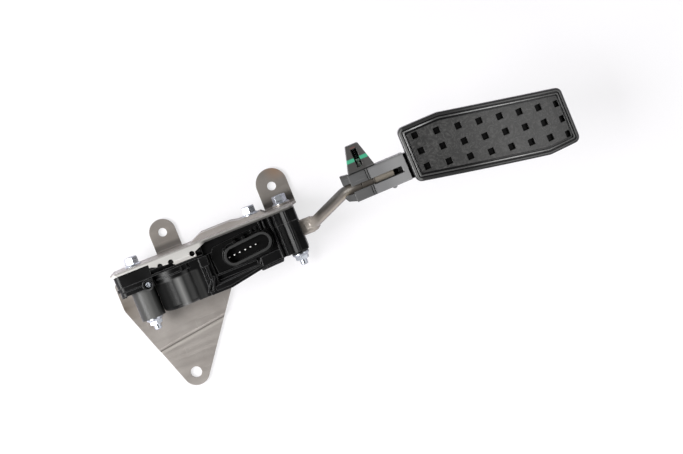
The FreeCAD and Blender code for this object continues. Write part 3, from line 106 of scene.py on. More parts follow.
def make_piece(name, points, faces, body, material, smooth_angle):
    """Turns points in millimetres and quads into a piece that rides on a body, with its doubles merged."""
    double_gap = 1e-6
    mesh = bpy.data.meshes.new(name)
    mesh.from_pydata((points * MM).tolist(), [], faces.tolist())
    shell = bmesh.new()
    shell.from_mesh(mesh)
    bmesh.ops.remove_doubles(shell, verts=shell.verts, dist=double_gap)
    bmesh.ops.recalc_face_normals(shell, faces=shell.faces)
    shell.to_mesh(mesh)
    shell.free()
    mesh.shade_smooth()
    mesh.set_sharp_from_angle(angle=math.radians(smooth_angle))
    mesh.materials.append(material)
    piece = bpy.data.objects.new(name, mesh)
    bpy.context.scene.collection.objects.link(piece)
    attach(piece, body)
    return piece


def on_pad(x, y, depth):
    """Point of the pad at plan position x, y and a depth below its face, measured towards the arc's centre.

    The height is the arc's: centre height plus the root of radius squared less the squared distance along X.
    Plan positions are those of the pad laid out straight, which are then turned about the origin.
    """
    radius = pad_radius - depth
    z = pad_centre_z + np.sqrt(radius ** 2 - (x - pad_centre_x) ** 2)
    cos, sin = math.cos(foot_turn), math.sin(foot_turn)
    return np.stack(np.broadcast_arrays(x * cos - y * sin, x * sin + y * cos, z), axis=-1)


def pad_lines(inset):
    """Corners of the pad's six-sided outline moved inwards: each side's line is shifted and neighbours meet."""
    corners = np.array([
        (pad_left_x, pad_left_y[0]), (pad_low_bend_x, pad_right_y[0]), (pad_right_x, pad_right_y[0]),
        (pad_right_x, pad_right_y[1]), (pad_high_bend_x, pad_left_y[1]), (pad_left_x, pad_left_y[1]),
    ])
    along = np.roll(corners, -1, axis=0) - corners
    along /= np.linalg.norm(along, axis=1, keepdims=True)
    inward = np.stack([-along[:, 1], along[:, 0]], axis=1)
    offset = np.sum(inward * corners, axis=1) + inset
    moved = []
    for i in range(len(corners)):
        sides = np.stack([inward[i - 1], inward[i]])
        moved.append(np.linalg.solve(sides, np.array([offset[i - 1], offset[i]])))
    return np.array(moved)


def pad_outline(inset):
    """The inset outline with rounded corners: at each corner an arc tangent to both sides, in equal turns."""
    blunt_bends = (1, 4)
    corners = pad_lines(inset)
    count = len(corners)
    points = []
    for i in range(count):
        before = corners[i - 1] - corners[i]
        after = corners[(i + 1) % count] - corners[i]
        before /= np.linalg.norm(before)
        after /= np.linalg.norm(after)
        half = math.acos(float(before @ after)) / 2
        radius = pad_bend_round if i in blunt_bends else max(pad_corner - inset, least_corner)
        middle = before + after
        centre = corners[i] + middle / np.linalg.norm(middle) * radius / math.sin(half)
        start = corners[i] + before * radius / math.tan(half) - centre
        turns = np.linspace(0, math.pi - 2 * half, corner_steps + 1)
        cos, sin = np.cos(turns)[:, None], np.sin(turns)[:, None]
        points.append(centre + start * cos + np.stack([-start[1], start[0]]) * sin)
    return np.concatenate(points)


def along_sides(outline, counts):
    """Adds evenly spaced points to each side of an outline, so that it can follow the arc."""
    result = []
    for i, pieces in enumerate(counts):
        a, b = outline[i], outline[(i + 1) % len(outline)]
        shares = np.arange(pieces)[:, None] / pieces
        result.append(a + (b - a) * shares)
    return np.concatenate(result)


def pad_rim(material):
    """The cover's edge: the profile carried round the outline, with each profile point on its own inset outline."""
    outer = pad_outline(0.0)
    lengths = np.linalg.norm(np.roll(outer, -1, axis=0) - outer, axis=1)
    counts = np.maximum(1, np.ceil(lengths / rim_step)).astype(int)
    rings = []
    for inset, depth in rim_profile:
        outline = along_sides(pad_outline(inset), counts)
        rings.append(on_pad(outline[:, 0], outline[:, 1], depth))
    points = np.stack(rings)
    faces = grid_faces(points.shape[0], points.shape[1], closed_rows=True, closed_columns=True)
    return make_piece("pad_rim", points.reshape(-1, 3), faces, "swing_arm", material, 35)


def pit_grid():
    """The face's grid lines: X of each column, Y of each row at each column, and which crossings are sunk.

    Columns stand at equal turns of the arc. Rows are level steps that shift a little from column to column.
    """
    half, floor = pit_size / 2, pit_size / 2 - pit_wall
    left, right = pad_left_x + face_inset, pad_right_x - face_inset
    angles = pit_first_angle + np.arange(pit_columns) * pit_pitch_angle
    centres = pad_centre_x + pad_radius * np.sin(angles)
    edges = [left] + [x + side for x in centres for side in (-half, half)] + [right]
    columns, column_sunk = [], []
    for k in range(pit_columns + 1):
        columns.extend(np.linspace(edges[2 * k], edges[2 * k + 1], lines_between_pits))
        column_sunk.extend([False] * lines_between_pits)
        if k < pit_columns:
            columns.extend(np.linspace(centres[k] - floor, centres[k] + floor, lines_across_pit))
            column_sunk.extend([True] * lines_across_pit)
    columns = np.array(columns)
    shift = np.interp(columns, [c + s for c in centres for s in (-half, half)],
                      [k * pit_column_shift for k in range(pit_columns) for _ in range(2)])
    corners = pad_lines(face_inset)
    low_side, high_side = corners[[0, 1, 2]], corners[[5, 4, 3]]
    low = np.interp(columns, low_side[:, 0], low_side[:, 1])
    high = np.interp(columns, high_side[:, 0], high_side[:, 1])
    rows, row_sunk = [low], [False]
    for row in reversed(range(pit_rows)):
        middle = pit_first_y - row * pit_row_pitch - shift
        rows.extend([middle - half, middle - floor, middle, middle + floor, middle + half])
        row_sunk.extend([False, True, True, True, False])
        if row:
            rows.append(middle + pit_row_pitch / 2)
            row_sunk.append(False)
    rows.append(high)
    row_sunk.append(False)
    y = np.clip(np.stack(rows, axis=1), low[:, None], high[:, None])
    return columns, y, np.array(column_sunk)[:, None] & np.array(row_sunk)[None, :]


def pad_face(material):
    """The dimpled face: a grid whose lines run along the walls of the square pits, closed by its underside.

    A point is sunk by the pit's depth where it lies inside a pit in both directions.
    """
    columns, y, sunk = pit_grid()
    top = on_pad(columns[:, None], y, rim_height + np.where(sunk, pit_depth, 0.0))
    under = on_pad(columns[:, None], y, np.full_like(y, face_thickness))
    rows, count = y.shape
    ring = np.concatenate([top, under[:, ::-1]], axis=1)
    faces = [grid_faces(rows, 2 * count, closed_columns=True)]
    j = np.arange(count - 1)
    for start, turn in ((0, 1), ((rows - 1) * 2 * count, -1)):
        quad = np.stack([start + j, start + j + 1, start + 2 * count - 2 - j, start + 2 * count - 1 - j], axis=1)
        faces.append(quad[:, ::turn])
    return make_piece("pad_face", ring.reshape(-1, 3), np.concatenate(faces), "swing_arm", material, 25)


# Shader building

class Board:
    """A tree of shader nodes, with the steps from which the finishes are built.

    A value is a plain number, a colour, or the socket that carries it. Places are millimetres on the part.
    """

    def __init__(self, tree):
        self.nodes = tree.nodes
        self.link = tree.links.new

    def add(self, kind, **settings):
        """A node of one kind, with its settings."""
        node = self.nodes.new("ShaderNode" + kind)
        for name, value in settings.items():
            setattr(node, name, value)
        return node

    def feed(self, value, socket):
        """Links a carried value to a socket, or writes a plain one into it."""
        if isinstance(value, bpy.types.NodeSocket):
            self.link(value, socket)
        elif socket.type == "RGBA":
            socket.default_value = (*value, 1)
        else:
            socket.default_value = value

    def work_out(self, operation, first, second):
        """One step of arithmetic on two values."""
        node = self.add("Math", operation=operation)
        self.feed(first, node.inputs[0])
        self.feed(second, node.inputs[1])
        return node.outputs["Value"]

    def both(self, first, second):
        """Product of two masks."""
        return self.work_out("MULTIPLY", first, second)

    def spread(self, value, working, wanted):
        """Maps a value's working range onto the wanted range, and holds it there beyond both ends."""
        node = self.add("MapRange")
        for label, number in zip(("From Min", "From Max", "To Min", "To Max"), (*working, *wanted)):
            node.inputs[label].default_value = number
        self.link(value, node.inputs["Value"])
        return node.outputs["Result"]

    def band(self, value, ends, soft=0.2):
        """One where a coordinate lies between two ends, fading out over the soft distance on both sides of each."""
        low, high = ends
        rise = self.spread(value, (low - soft, low + soft), (0.0, 1.0))
        fall = self.spread(value, (high - soft, high + soft), (1.0, 0.0))
        return self.both(rise, fall)

    def place(self, turn=0.0, stretch=(1, 1, 1)):
        """Object coordinates in metres, stretched by axis and turned about the origin's Z."""
        plain = self.add("TexCoord")
        mapping = self.add("Mapping")
        mapping.inputs["Rotation"].default_value = (0, 0, turn)
        mapping.inputs["Scale"].default_value = stretch
        self.link(plain.outputs["Object"], mapping.inputs["Vector"])
        return mapping.outputs["Vector"]

    def axes(self, turn=0.0):
        """The sockets X, Y and Z of the object coordinates in millimetres, turned about the origin's Z."""
        node = self.add("SeparateXYZ")
        self.link(self.place(turn, (1 / MM, 1 / MM, 1 / MM)), node.inputs["Vector"])
        return node.outputs

    def distance(self, vector, centre):
        """How far a place lies from a point."""
        node = self.add("VectorMath", operation="DISTANCE")
        self.link(vector, node.inputs[0])
        node.inputs[1].default_value = centre
        return node.outputs["Value"]

    def near(self, centre, reach, strength):
        """Mask that is strongest at a point of the part and fades out over its reach."""
        here = self.place(stretch=(1 / MM, 1 / MM, 1 / MM))
        return self.spread(self.distance(here, centre), (0.0, reach), (strength, 0.0))

    def noise(self, vector, scale, detail, **settings):
        """Cloudy noise at so many clouds to a metre."""
        node = self.add("TexNoise")
        self.link(vector, node.inputs["Vector"])
        self.feed(scale, node.inputs["Scale"])
        node.inputs["Detail"].default_value = detail
        for label, number in settings.items():
            node.inputs[label].default_value = number
        return node.outputs["Fac"]

    def mix(self, mask, first, second):
        """Mixes two colours by a mask."""
        colour_a, colour_b, colour_result = 6, 7, 2
        node = self.add("Mix", data_type="RGBA")
        self.link(mask, node.inputs["Factor"])
        self.feed(first, node.inputs[colour_a])
        self.feed(second, node.inputs[colour_b])
        return node.outputs[colour_result]

    def stamp(self, group, **values):
        """Places a node group with its own values."""
        node = self.add("Group", node_tree=group)
        for label, number in values.items():
            node.inputs[label.replace("_", " ")].default_value = number
        return node.outputs


class Finish(Board):
    """A material whose colour is laid on in layers, each through its own mask."""

    def __init__(self, name):
        self.material = bpy.data.materials.new(name)
        self.material.use_nodes = True
        super().__init__(self.material.node_tree)
        self.shader = self.nodes["Principled BSDF"]

    def lay(self, mask, colour):
        """Blends one more colour over what the material already has."""
        base = self.shader.inputs["Base Color"]
        self.link(self.mix(mask, base.links[0].from_socket, colour), base)

    def shape_surface(self, height, depth, edge):
        """Bump of a depth over edges softly rounded to a radius. Gives a mask that is one on a rounded edge."""
        edge_outputs = self.stamp(edges, Radius=edge * MM)
        bump = self.add("Bump")
        bump.inputs["Distance"].default_value = depth * MM
        self.link(height, bump.inputs["Height"])
        self.link(edge_outputs["Normal"], bump.inputs["Normal"])
        self.link(bump.outputs["Normal"], self.shader.inputs["Normal"])
        return edge_outputs["Wear and highlight"]

    def dull(self, mask, strongest, plain_level, dull_level):
        """Lowers the specular level where a mask is strongest. The socket's own value is the plain level."""
        socket = self.shader.inputs["Specular IOR Level"]
        socket.default_value = plain_level
        self.link(self.spread(mask, (0.0, strongest), (plain_level, dull_level)), socket)


# Shader node groups

def start_group(name, inputs, outputs):
    """An empty shader group: number inputs with their values, and outputs, where Normal is a direction."""
    group = bpy.data.node_groups.new(name, "ShaderNodeTree")
    for label, value in inputs.items():
        socket = group.interface.new_socket(name=label, in_out="INPUT", socket_type="NodeSocketFloat")
        socket.default_value = value
    for label in outputs:
        kind = "NodeSocketVector" if label == "Normal" else "NodeSocketFloat"
        group.interface.new_socket(name=label, in_out="OUTPUT", socket_type=kind)
    source, result = group.nodes.new("NodeGroupInput"), group.nodes.new("NodeGroupOutput")
    return group, Board(group), source.outputs, result.inputs


def grain_group():
    """Fine moulded grain: small noise for height, larger noise for tone."""
    group, board, source, result = start_group(
        "moulded_grain", {"Grain size": 2500.0, "Cloud size": 40.0}, ("Height", "Tone"))
    here = board.place()
    for size, detail, output in (("Grain size", 2.0, "Height"), ("Cloud size", 4.0, "Tone")):
        board.link(board.noise(here, source[size], detail), result[output])
    return group


def scratch_group():
    """Thin scratches: noise drawn out along one axis in two directions, kept where it passes a threshold."""
    group, board, source, result = start_group(
        "handling_scratches", {"Scale": 60.0, "Threshold": 0.62, "Amount": 1.0}, ("Mask",))
    fade = 0.05
    masks = []
    for degrees, stretch in ((25, (1, 26, 8)), (-50, (30, 1, 9))):
        drawn = board.place(math.radians(degrees), stretch)
        edge = board.add("MapRange", interpolation_type="SMOOTHSTEP")
        board.link(board.noise(drawn, source["Scale"], 3.0), edge.inputs["Value"])
        board.link(source["Threshold"], edge.inputs["From Min"])
        board.link(board.work_out("ADD", source["Threshold"], fade), edge.inputs["From Max"])
        masks.append(edge.outputs["Result"])
    either = board.work_out("MAXIMUM", *masks)
    board.link(board.both(either, source["Amount"]), result["Mask"])
    return group


def rolled_group():
    """Rolled or drawn metal: noise drawn out along X for fine lines, and soft clouds for the coat's tone."""
    group, board, source, result = start_group(
        "rolled_metal", {"Line scale": 300.0, "Cloud scale": 25.0}, ("Lines", "Clouds"))
    drawn = board.place(stretch=(0.05, 1, 1))
    board.link(board.noise(drawn, source["Line scale"], 3.0), result["Lines"])
    board.link(board.noise(board.place(), source["Cloud scale"], 5.0), result["Clouds"])
    return group


def edge_group():
    """Rounded edges for wear and a painted highlight: the normal of softly rounded edges, and a mask of where it turns
    away from the plain normal.
    """
    group, board, source, result = start_group("worn_and_highlit_edges", {"Radius": 0.0005}, ("Normal", "Wear and highlight"))
    turned_far, still_flat = 0.8, 0.99
    soft = board.add("Bevel", samples=6)
    board.link(source["Radius"], soft.inputs["Radius"])
    agree = board.add("VectorMath", operation="DOT_PRODUCT")
    board.link(soft.outputs["Normal"], agree.inputs[0])
    board.link(board.add("NewGeometry").outputs["Normal"], agree.inputs[1])
    board.link(soft.outputs["Normal"], result["Normal"])
    board.link(board.spread(agree.outputs["Value"], (turned_far, still_flat), (1.0, 0.0)), result["Wear and highlight"])
    return group


def pad_height_group():
    """Distance from the axis of the pad's arc, which shows how deep a point lies below the curved face."""
    group, board, _, result = start_group("pad_height", {}, ("Height",))
    here = board.axes(-foot_turn)
    flat = board.add("CombineXYZ")
    board.link(here["X"], flat.inputs["X"])
    board.link(here["Z"], flat.inputs["Z"])
    board.link(board.distance(flat.outputs["Vector"], (pad_centre_x, 0, pad_centre_z)), result["Height"])
    return group


grain = grain_group()
scratches = scratch_group()
rolled = rolled_group()
edges = edge_group()
pad_height = pad_height_group()


# Base finishes

def moulded_plastic(name, dark, light, roughness, grain_size, depth, edge=0.6, edge_wear_and_highlight=None, scratch=0.35):
    """Moulding: clouded tone, fine grain of a depth, paler edges of a radius, worn and painted as a highlight, and
    faint scratches.
    """
    finish = Finish(name)
    texture = finish.stamp(grain, Grain_size=grain_size, Cloud_size=45.0)
    marks = finish.stamp(scratches, Scale=50.0, Threshold=0.68, Amount=scratch)
    pale = tuple(min(1.0, value * 2.2 + 0.01) for value in light)
    tone = finish.spread(texture["Tone"], (0.3, 0.7), (0.0, 1.0))
    finish.link(finish.mix(tone, dark, light), finish.shader.inputs["Base Color"])
    finish.lay(marks["Mask"], pale)
    # Rounded edges laid paler: wear, and a painted highlight.
    finish.lay(finish.shape_surface(texture["Height"], depth, edge), edge_wear_and_highlight or light)
    rough = finish.spread(texture["Tone"], (0.25, 0.75), (roughness - 0.05, roughness + 0.07))
    finish.link(rough, finish.shader.inputs["Roughness"])
    return finish


def coated_metal(name, dark, light, metallic, roughness, depth, line_scale=300.0, edge=0.4, edge_wear_and_highlight=None, scratch=0.3):
    """Coated or plated metal: rolled lines of a depth, clouded coat, paler edges of a radius, worn and painted as a
    highlight, and bright scratches.
    """
    finish = Finish(name)
    texture = finish.stamp(rolled, Line_scale=line_scale, Cloud_scale=35.0)
    marks = finish.stamp(scratches, Scale=40.0, Threshold=0.66, Amount=scratch)
    bright = tuple(min(1.0, value * 1.25 + 0.05) for value in light)
    tone = finish.spread(texture["Clouds"], (0.35, 0.65), (0.0, 1.0))
    finish.link(finish.mix(tone, dark, light), finish.shader.inputs["Base Color"])
    finish.lay(marks["Mask"], bright)
    # Rounded edges laid paler: wear, and a painted highlight.
    finish.lay(finish.shape_surface(texture["Lines"], depth, edge), edge_wear_and_highlight or bright)
    rough = finish.spread(texture["Lines"], (0.3, 0.7), (roughness - 0.06, roughness + 0.08))
    finish.link(rough, finish.shader.inputs["Roughness"])
    finish.shader.inputs["Metallic"].default_value = metallic
    return finish


# The bracket's coat

right_ear_tip, right_ear_tip_reach = (121.8, 131.8, 2.0), 11.0
plate_end, plate_end_reach = (-34.0, 70.0, 4.0), 24.0
web_top_z = (39.5, 42.5)
web_top_middle_y = (100.4, 101.4)
lip_end_x = (45.0, 50.0)
lip_y = (91.5, 98.5)
ear_start_y = (103.0, 107.0)
ear_bend_y, ear_bend_z = (102.5, 107.5), (8.0, 14.0)
joggle_turn = math.radians(-7.61)
joggle, joggle_edge_highlight = (28.4, 29.6), (26.2, 28.2)


def bracket_coat():
    """Grey coated sheet with painted light and shade: a painted highlight along the lip, painted shade over the inner
    half of the web's top, on the ears and in their bends, and a painted dark line and pale band at the joggle's step;
    dark brown near the plate's end, and an orange tint at an ear's end.
    """
    finish = coated_metal("bracket_steel", (0.275, 0.25, 0.231), (0.352, 0.325, 0.303), metallic=0.42, roughness=0.38,
                          depth=0.02, edge_wear_and_highlight=(0.7, 0.68, 0.65))
    here, across = finish.axes(), finish.axes(joggle_turn)["Y"]
    web_top = finish.spread(here["Z"], web_top_z, (0.0, 0.85))
    inner_half = finish.both(web_top, finish.spread(here["Y"], web_top_middle_y, (1.15, 0.0)))
    inner_right_shade = finish.both(inner_half, finish.spread(here["X"], lip_end_x, (0.0, 0.85)))
    lip_highlight = finish.both(inner_half, finish.spread(here["X"], lip_end_x, (1.0, 0.0)))
    lip_highlight = finish.both(lip_highlight, finish.spread(here["Y"], lip_y, (0.5, 1.0)))
    ear_shade = finish.spread(here["Y"], ear_start_y, (0.0, 0.42))
    low_down = finish.spread(here["Z"], ear_bend_z, (0.6, 0.0))
    finish.lay(finish.near(right_ear_tip, right_ear_tip_reach, 0.7), (0.55, 0.29, 0.14))
    finish.lay(finish.near(plate_end, plate_end_reach, 0.95), (0.12, 0.098, 0.076))
    finish.lay(web_top, (0.3, 0.289, 0.274))
    # Painted highlight along the lip's top.
    finish.lay(lip_highlight, (0.57, 0.557, 0.537))
    # Painted shade: the inner half of the web's top edge, right of the lip, laid nearly black.
    finish.lay(inner_right_shade, (0.03, 0.029, 0.028))
    # Painted shade on the ears.
    finish.lay(ear_shade, (0.2, 0.178, 0.155))
    # Painted shade in the ears' bends, low down.
    finish.lay(finish.both(finish.band(here["Y"], ear_bend_y, 1.2), low_down), (0.07, 0.063, 0.058))
    # Painted shade and highlight of the joggle's step: a dark line, and a pale band below it.
    finish.lay(finish.band(across, joggle, 0.4), (0.1, 0.09, 0.08))
    finish.lay(finish.band(across, joggle_edge_highlight, 0.6), (0.42, 0.39, 0.36))
    return finish


# The housing's and the socket's black mouldings

matt_end_x, collar_y = (33.5, 36.5), (80.5, 82.2)
boss_shade_x, boss_highlight_x = (-21.0, -15.0), (-13.0, -9.0)
barrel_start_x, barrel_shade_x, barrel_highlight_x = (-3.0, -1.0), (10.5, 15.5), (17.0, 21.0)
socket_rim_z = (48.4, 48.7)


def case_plastic():
    """Black moulding: glossy on its flat faces, with a grey eroded texture on the boss and the pivot barrel, each with
    a painted dark side and a painted highlight streak.
    """
    finish = moulded_plastic("housing_plastic", (0.002, 0.002, 0.0021), (0.0045, 0.0045, 0.0047), roughness=0.3,
                             grain_size=2200.0, depth=0.01, edge_wear_and_highlight=(0.11, 0.11, 0.112))
    here = finish.axes()
    left_part = finish.spread(here["X"], matt_end_x, (1.0, 0.0))
    below_collar = finish.spread(here["Y"], collar_y, (1.0, 0.0))
    matt = finish.both(left_part, below_collar)
    boss_shade = finish.both(matt, finish.spread(here["X"], boss_shade_x, (0.9, 0.0)))
    boss_highlight = finish.both(matt, finish.band(here["X"], boss_highlight_x, 2.0))
    barrel = finish.both(matt, finish.spread(here["X"], barrel_start_x, (0.0, 1.0)))
    barrel_shade = finish.both(barrel, finish.spread(here["X"], barrel_shade_x, (0.9, 0.0)))
    barrel_highlight = finish.both(barrel, finish.band(here["X"], barrel_highlight_x, 2.2))
    finish.lay(matt, (0.066, 0.066, 0.0645))
    # Painted shade on the boss's left side and a painted highlight streak on it.
    finish.lay(boss_shade, (0.022, 0.022, 0.0215))
    finish.lay(boss_highlight, (0.12, 0.12, 0.117))
    finish.lay(barrel, (0.021, 0.021, 0.0207))
    # Painted shade on the barrel's left side and a painted highlight streak on it; the shaded side is also less
    # glossy.
    finish.lay(barrel_shade, (0.004, 0.004, 0.004))
    finish.lay(barrel_highlight, (0.2, 0.2, 0.197))
    finish.dull(barrel_shade, 0.9, 0.22, 0.05)
    return finish


def socket_plastic():
    """Dead black moulding whose socket's rim is laid paler, a painted highlight."""
    finish = moulded_plastic("connector_plastic", (0.0015, 0.0015, 0.0015), (0.003, 0.003, 0.003), roughness=0.3,
                             grain_size=2600.0, depth=0.01, edge=0.5, edge_wear_and_highlight=(0.05, 0.05, 0.05))
    # Painted highlight on the socket's rim.
    finish.lay(finish.spread(finish.axes()["Z"], socket_rim_z, (0.0, 1.0)), (0.034, 0.034, 0.034))
    finish.shader.inputs["Specular IOR Level"].default_value = 0.2
    return finish


# The arm's coat and the holder's moulding, at places of the straight laid foot end or of the arm's rod

flat_end_x, bend_start_x = (134.0, 140.0), (139.0, 150.0)
rise_x, rise_turn = (140.0, 170.0), math.radians(-28.84)
rise_dark_side, rise_highlight = (5.6, 7.4), (2.0, 3.6)
arm_in_holder_x = (191.5, 192.5)

holder_right_part_x, holder_paler_x = (190.5, 192.5), (200.0, 220.0)
tower_start_y, tower_foot_y, tower_foot_x = (103.5, 107.5), (105.2, 106.1), (176.2, 198.6)
stripe_y = (113.4, 116.2)
red_end_x, red_end_y = (185.2, 189.2), (123.3, 124.3)
deep_z = (91.5, 92.5)
window_x, slot_x, slot_y = (185.12, 189.68), (208.8, 216.8), (91.8, 97.0)
rod_end_x, below_rod_y = (192.5, 216.8), (91.4, 92.3)


def arm_coat():
    """Brown-grey coated bar with painted light and shade: paler at its flat end and darker from the bend on, with a
    painted dark side and a tan painted highlight up the rise, and paler tan where it runs in the holder.
    """
    finish = coated_metal("arm_steel", (0.13, 0.115, 0.1), (0.22, 0.195, 0.172), metallic=0.25, roughness=0.36,
                          depth=0.03, edge_wear_and_highlight=(0.34, 0.31, 0.27))
    along, across = finish.axes()["X"], finish.axes(rise_turn)["Y"]
    rise = finish.band(along, rise_x, 3.0)
    rise_shade = finish.both(rise, finish.spread(across, rise_dark_side, (0.0, 0.8)))
    # Painted light and shade: the flat end laid paler, the bar from the bend on darker.
    finish.lay(finish.spread(along, flat_end_x, (0.7, 0.0)), (0.36, 0.325, 0.29))
    finish.lay(finish.spread(along, bend_start_x, (0.0, 0.85)), (0.075, 0.065, 0.054))
    # Painted shade on one side of the rise, and a painted highlight streak along it.
    finish.lay(rise_shade, (0.022, 0.021, 0.018))
    finish.lay(finish.both(rise, finish.band(across, rise_highlight, 0.9)), (0.27, 0.235, 0.185))
    finish.lay(finish.spread(along, arm_in_holder_x, (0.0, 0.8)), (0.33, 0.295, 0.245))
    return finish


def holder_plastic():
    """Grey moulding, paler on its right part and more so towards its end, darker over its tower, with painted shade at
    the tower's foot, below the rod's end and deep in the window and the slot, a green stripe across its tower and a
    faint red end.
    """
    finish = moulded_plastic("holder_plastic", (0.065, 0.065, 0.066), (0.092, 0.092, 0.093), roughness=0.42,
                             grain_size=1800.0, depth=0.03, edge_wear_and_highlight=(0.1, 0.1, 0.1))
    here = finish.axes(-foot_turn)
    deep = finish.spread(here["Z"], deep_z, (1.0, 0.0))
    tower_foot_shade = finish.both(finish.band(here["Y"], tower_foot_y), finish.band(here["X"], tower_foot_x))
    below_rod_shade = finish.both(finish.band(here["X"], rod_end_x), finish.band(here["Y"], below_rod_y))
    window_shade = finish.both(finish.band(here["X"], window_x), deep)
    slot = finish.both(finish.both(finish.band(here["X"], slot_x), deep), finish.band(here["Y"], slot_y))
    red_end = finish.both(finish.band(here["Y"], red_end_y), finish.band(here["X"], red_end_x))
    finish.lay(finish.spread(here["X"], holder_right_part_x, (0.0, 1.0)), (0.17, 0.17, 0.173))
    finish.lay(finish.spread(here["X"], holder_paler_x, (0.0, 0.6)), (0.34, 0.34, 0.342))
    finish.lay(finish.spread(here["Y"], tower_start_y, (0.0, 0.85)), (0.045, 0.042, 0.04))
    # Painted shade at the tower's foot, below the rod's end, and deep in the window and the slot.
    finish.lay(tower_foot_shade, (0.006, 0.006, 0.006))
    finish.lay(below_rod_shade, (0.006, 0.006, 0.006))
    finish.lay(window_shade, (0.004, 0.004, 0.004))
    finish.lay(slot, (0.004, 0.004, 0.004))
    finish.lay(finish.band(here["Y"], stripe_y), (0.05, 0.33, 0.19))
    finish.lay(red_end, (0.11, 0.05, 0.045))
    return finish


# The pad's rubber: heights are measured from the arc's axis, places on the pad laid out straight

raised_height = (pad_radius - 0.4, pad_radius - 0.2)
ridge_height = (pad_radius - 0.13, pad_radius - 0.07)
rim_middle_x = (282.0, 318.0)
rim_high_side_y, rim_corner_x = (100.0, 104.0), (230.0, 246.0)
rim_holder_end_x = (226.2, 227.5)

pit_floor = pad_radius - rim_height - pit_depth
pit_shade_height = (pit_floor + 0.6, pit_floor + 1.9)
sheen_spot, sheen_reach = (300.0, 95.0, 95.0), 90.0


def rim_rubber():
    """Glossy black edge whose two raised bands are laid paler as a painted sheen, paler still at the holder's end, the
    inner one with near-white painted highlights in the middle and at one corner.
    """
    finish = moulded_plastic("pad_rim_rubber", (0.006, 0.006, 0.0062), (0.012, 0.012, 0.0125), roughness=0.2,
                             grain_size=1400.0, depth=0.01, edge=0.3, scratch=0.25)
    here, height = finish.axes(-foot_turn), finish.stamp(pad_height)["Height"]
    raised = finish.spread(height, raised_height, (0.0, 1.0))
    ridge = finish.spread(height, ridge_height, (0.0, 1.0))
    middle = finish.both(ridge, finish.band(here["X"], rim_middle_x, 20.0))
    high_side = finish.both(ridge, finish.spread(here["Y"], rim_high_side_y, (0.0, 1.0)))
    corner = finish.both(high_side, finish.band(here["X"], rim_corner_x, 6.0))
    holder_end_highlight = finish.both(raised, finish.spread(here["X"], rim_holder_end_x, (1.0, 0.0)))
    # Painted sheen on the raised bands, paler at the holder's end, and near-white painted highlights on the inner
    # band.
    finish.lay(raised, (0.028, 0.028, 0.0277))
    finish.lay(holder_end_highlight, (0.13, 0.13, 0.128))
    finish.lay(ridge, (0.075, 0.075, 0.074))
    finish.lay(middle, (0.45, 0.45, 0.45))
    finish.lay(corner, (0.4, 0.4, 0.4))
    return finish


def face_rubber():
    """Satin black face with wiped swirls, a painted sheen that is paler in the middle, and pits laid dark as a painted
    shade.
    """
    finish = moulded_plastic("pad_face_rubber", (0.016, 0.016, 0.0162), (0.032, 0.0315, 0.031), roughness=0.4,
                             grain_size=900.0, depth=0.06, edge=0.3, scratch=0.5)
    swirls = finish.noise(finish.place(), 160.0, 9.0, Roughness=0.7, Distortion=3.0)
    sunk = finish.spread(finish.stamp(pad_height)["Height"], pit_shade_height, (0.93, 0.0))
    # Painted sheen in the middle of the face.
    finish.lay(finish.near(sheen_spot, sheen_reach, 0.8), (0.047, 0.0465, 0.0455))
    finish.lay(finish.spread(swirls, (0.47, 0.62), (0.0, 1.0)), (0.075, 0.074, 0.072))
    # Painted shade in the pits, where the gloss is also lowered.
    finish.lay(sunk, (0.0035, 0.0035, 0.0035))
    finish.dull(sunk, 0.93, 0.5, 0.06)
    return finish


# Finishes by slot

def plated_metal(name, dark, light, metallic, roughness, depth):
    """Plated, ground or drawn metal with finer rolled lines than a coated sheet."""
    return coated_metal(name, dark, light, metallic, roughness, depth, line_scale=600.0)


finishes = {
    "bracket_steel": bracket_coat(),
    "housing_plastic": case_plastic(),
    "connector_plastic": socket_plastic(),
    "holder_plastic": holder_plastic(),
    "fastener_zinc": coated_metal("fastener_zinc", (0.3, 0.318, 0.35), (0.48, 0.503, 0.545), metallic=0.9,
                                  roughness=0.29, depth=0.001, line_scale=500.0, scratch=0.1),
    "terminal_metal": plated_metal("terminal_metal", (0.93, 0.92, 0.89), (0.97, 0.96, 0.93), metallic=0.0,
                                   roughness=0.25, depth=0.005),
    "shaft_steel": plated_metal("shaft_steel", (0.5, 0.5, 0.5), (0.62, 0.62, 0.62), metallic=1.0,
                                roughness=0.22, depth=0.005),
    "arm_steel": arm_coat(),
    "spring_steel": plated_metal("spring_steel", (0.08, 0.08, 0.085), (0.2, 0.2, 0.21), metallic=0.8,
                                 roughness=0.3, depth=0.008),
    "bush_plastic": moulded_plastic("bush_plastic", (0.55, 0.53, 0.48), (0.68, 0.66, 0.6), roughness=0.45,
                                    grain_size=2500.0, depth=0.01),
    "stop_rubber": moulded_plastic("stop_rubber", (0.015, 0.015, 0.015), (0.028, 0.028, 0.028), roughness=0.7,
                                   grain_size=1500.0, depth=0.04),
    "board_laminate": moulded_plastic("board_laminate", (0.012, 0.09, 0.04), (0.02, 0.14, 0.06), roughness=0.3,
                                      grain_size=2500.0, depth=0.005),
    "magnet_ferrite": coated_metal("magnet_ferrite", (0.09, 0.09, 0.09), (0.14, 0.14, 0.14), metallic=0.4,
                                   roughness=0.55, depth=0.02),
    "pad_rubber": rim_rubber(),
}
for entry in frame["record"]["subparts"]:
    node = frame["nodes"][entry["node"]]
    for slot in node.material_slots:
        slot.material = finishes[entry["material_slot"]].material


# The pad's cover stands for its solid

pad_face(face_rubber().material)
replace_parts(pad_rim(finishes["pad_rubber"].material), "pad_cover")


# Table, light and camera

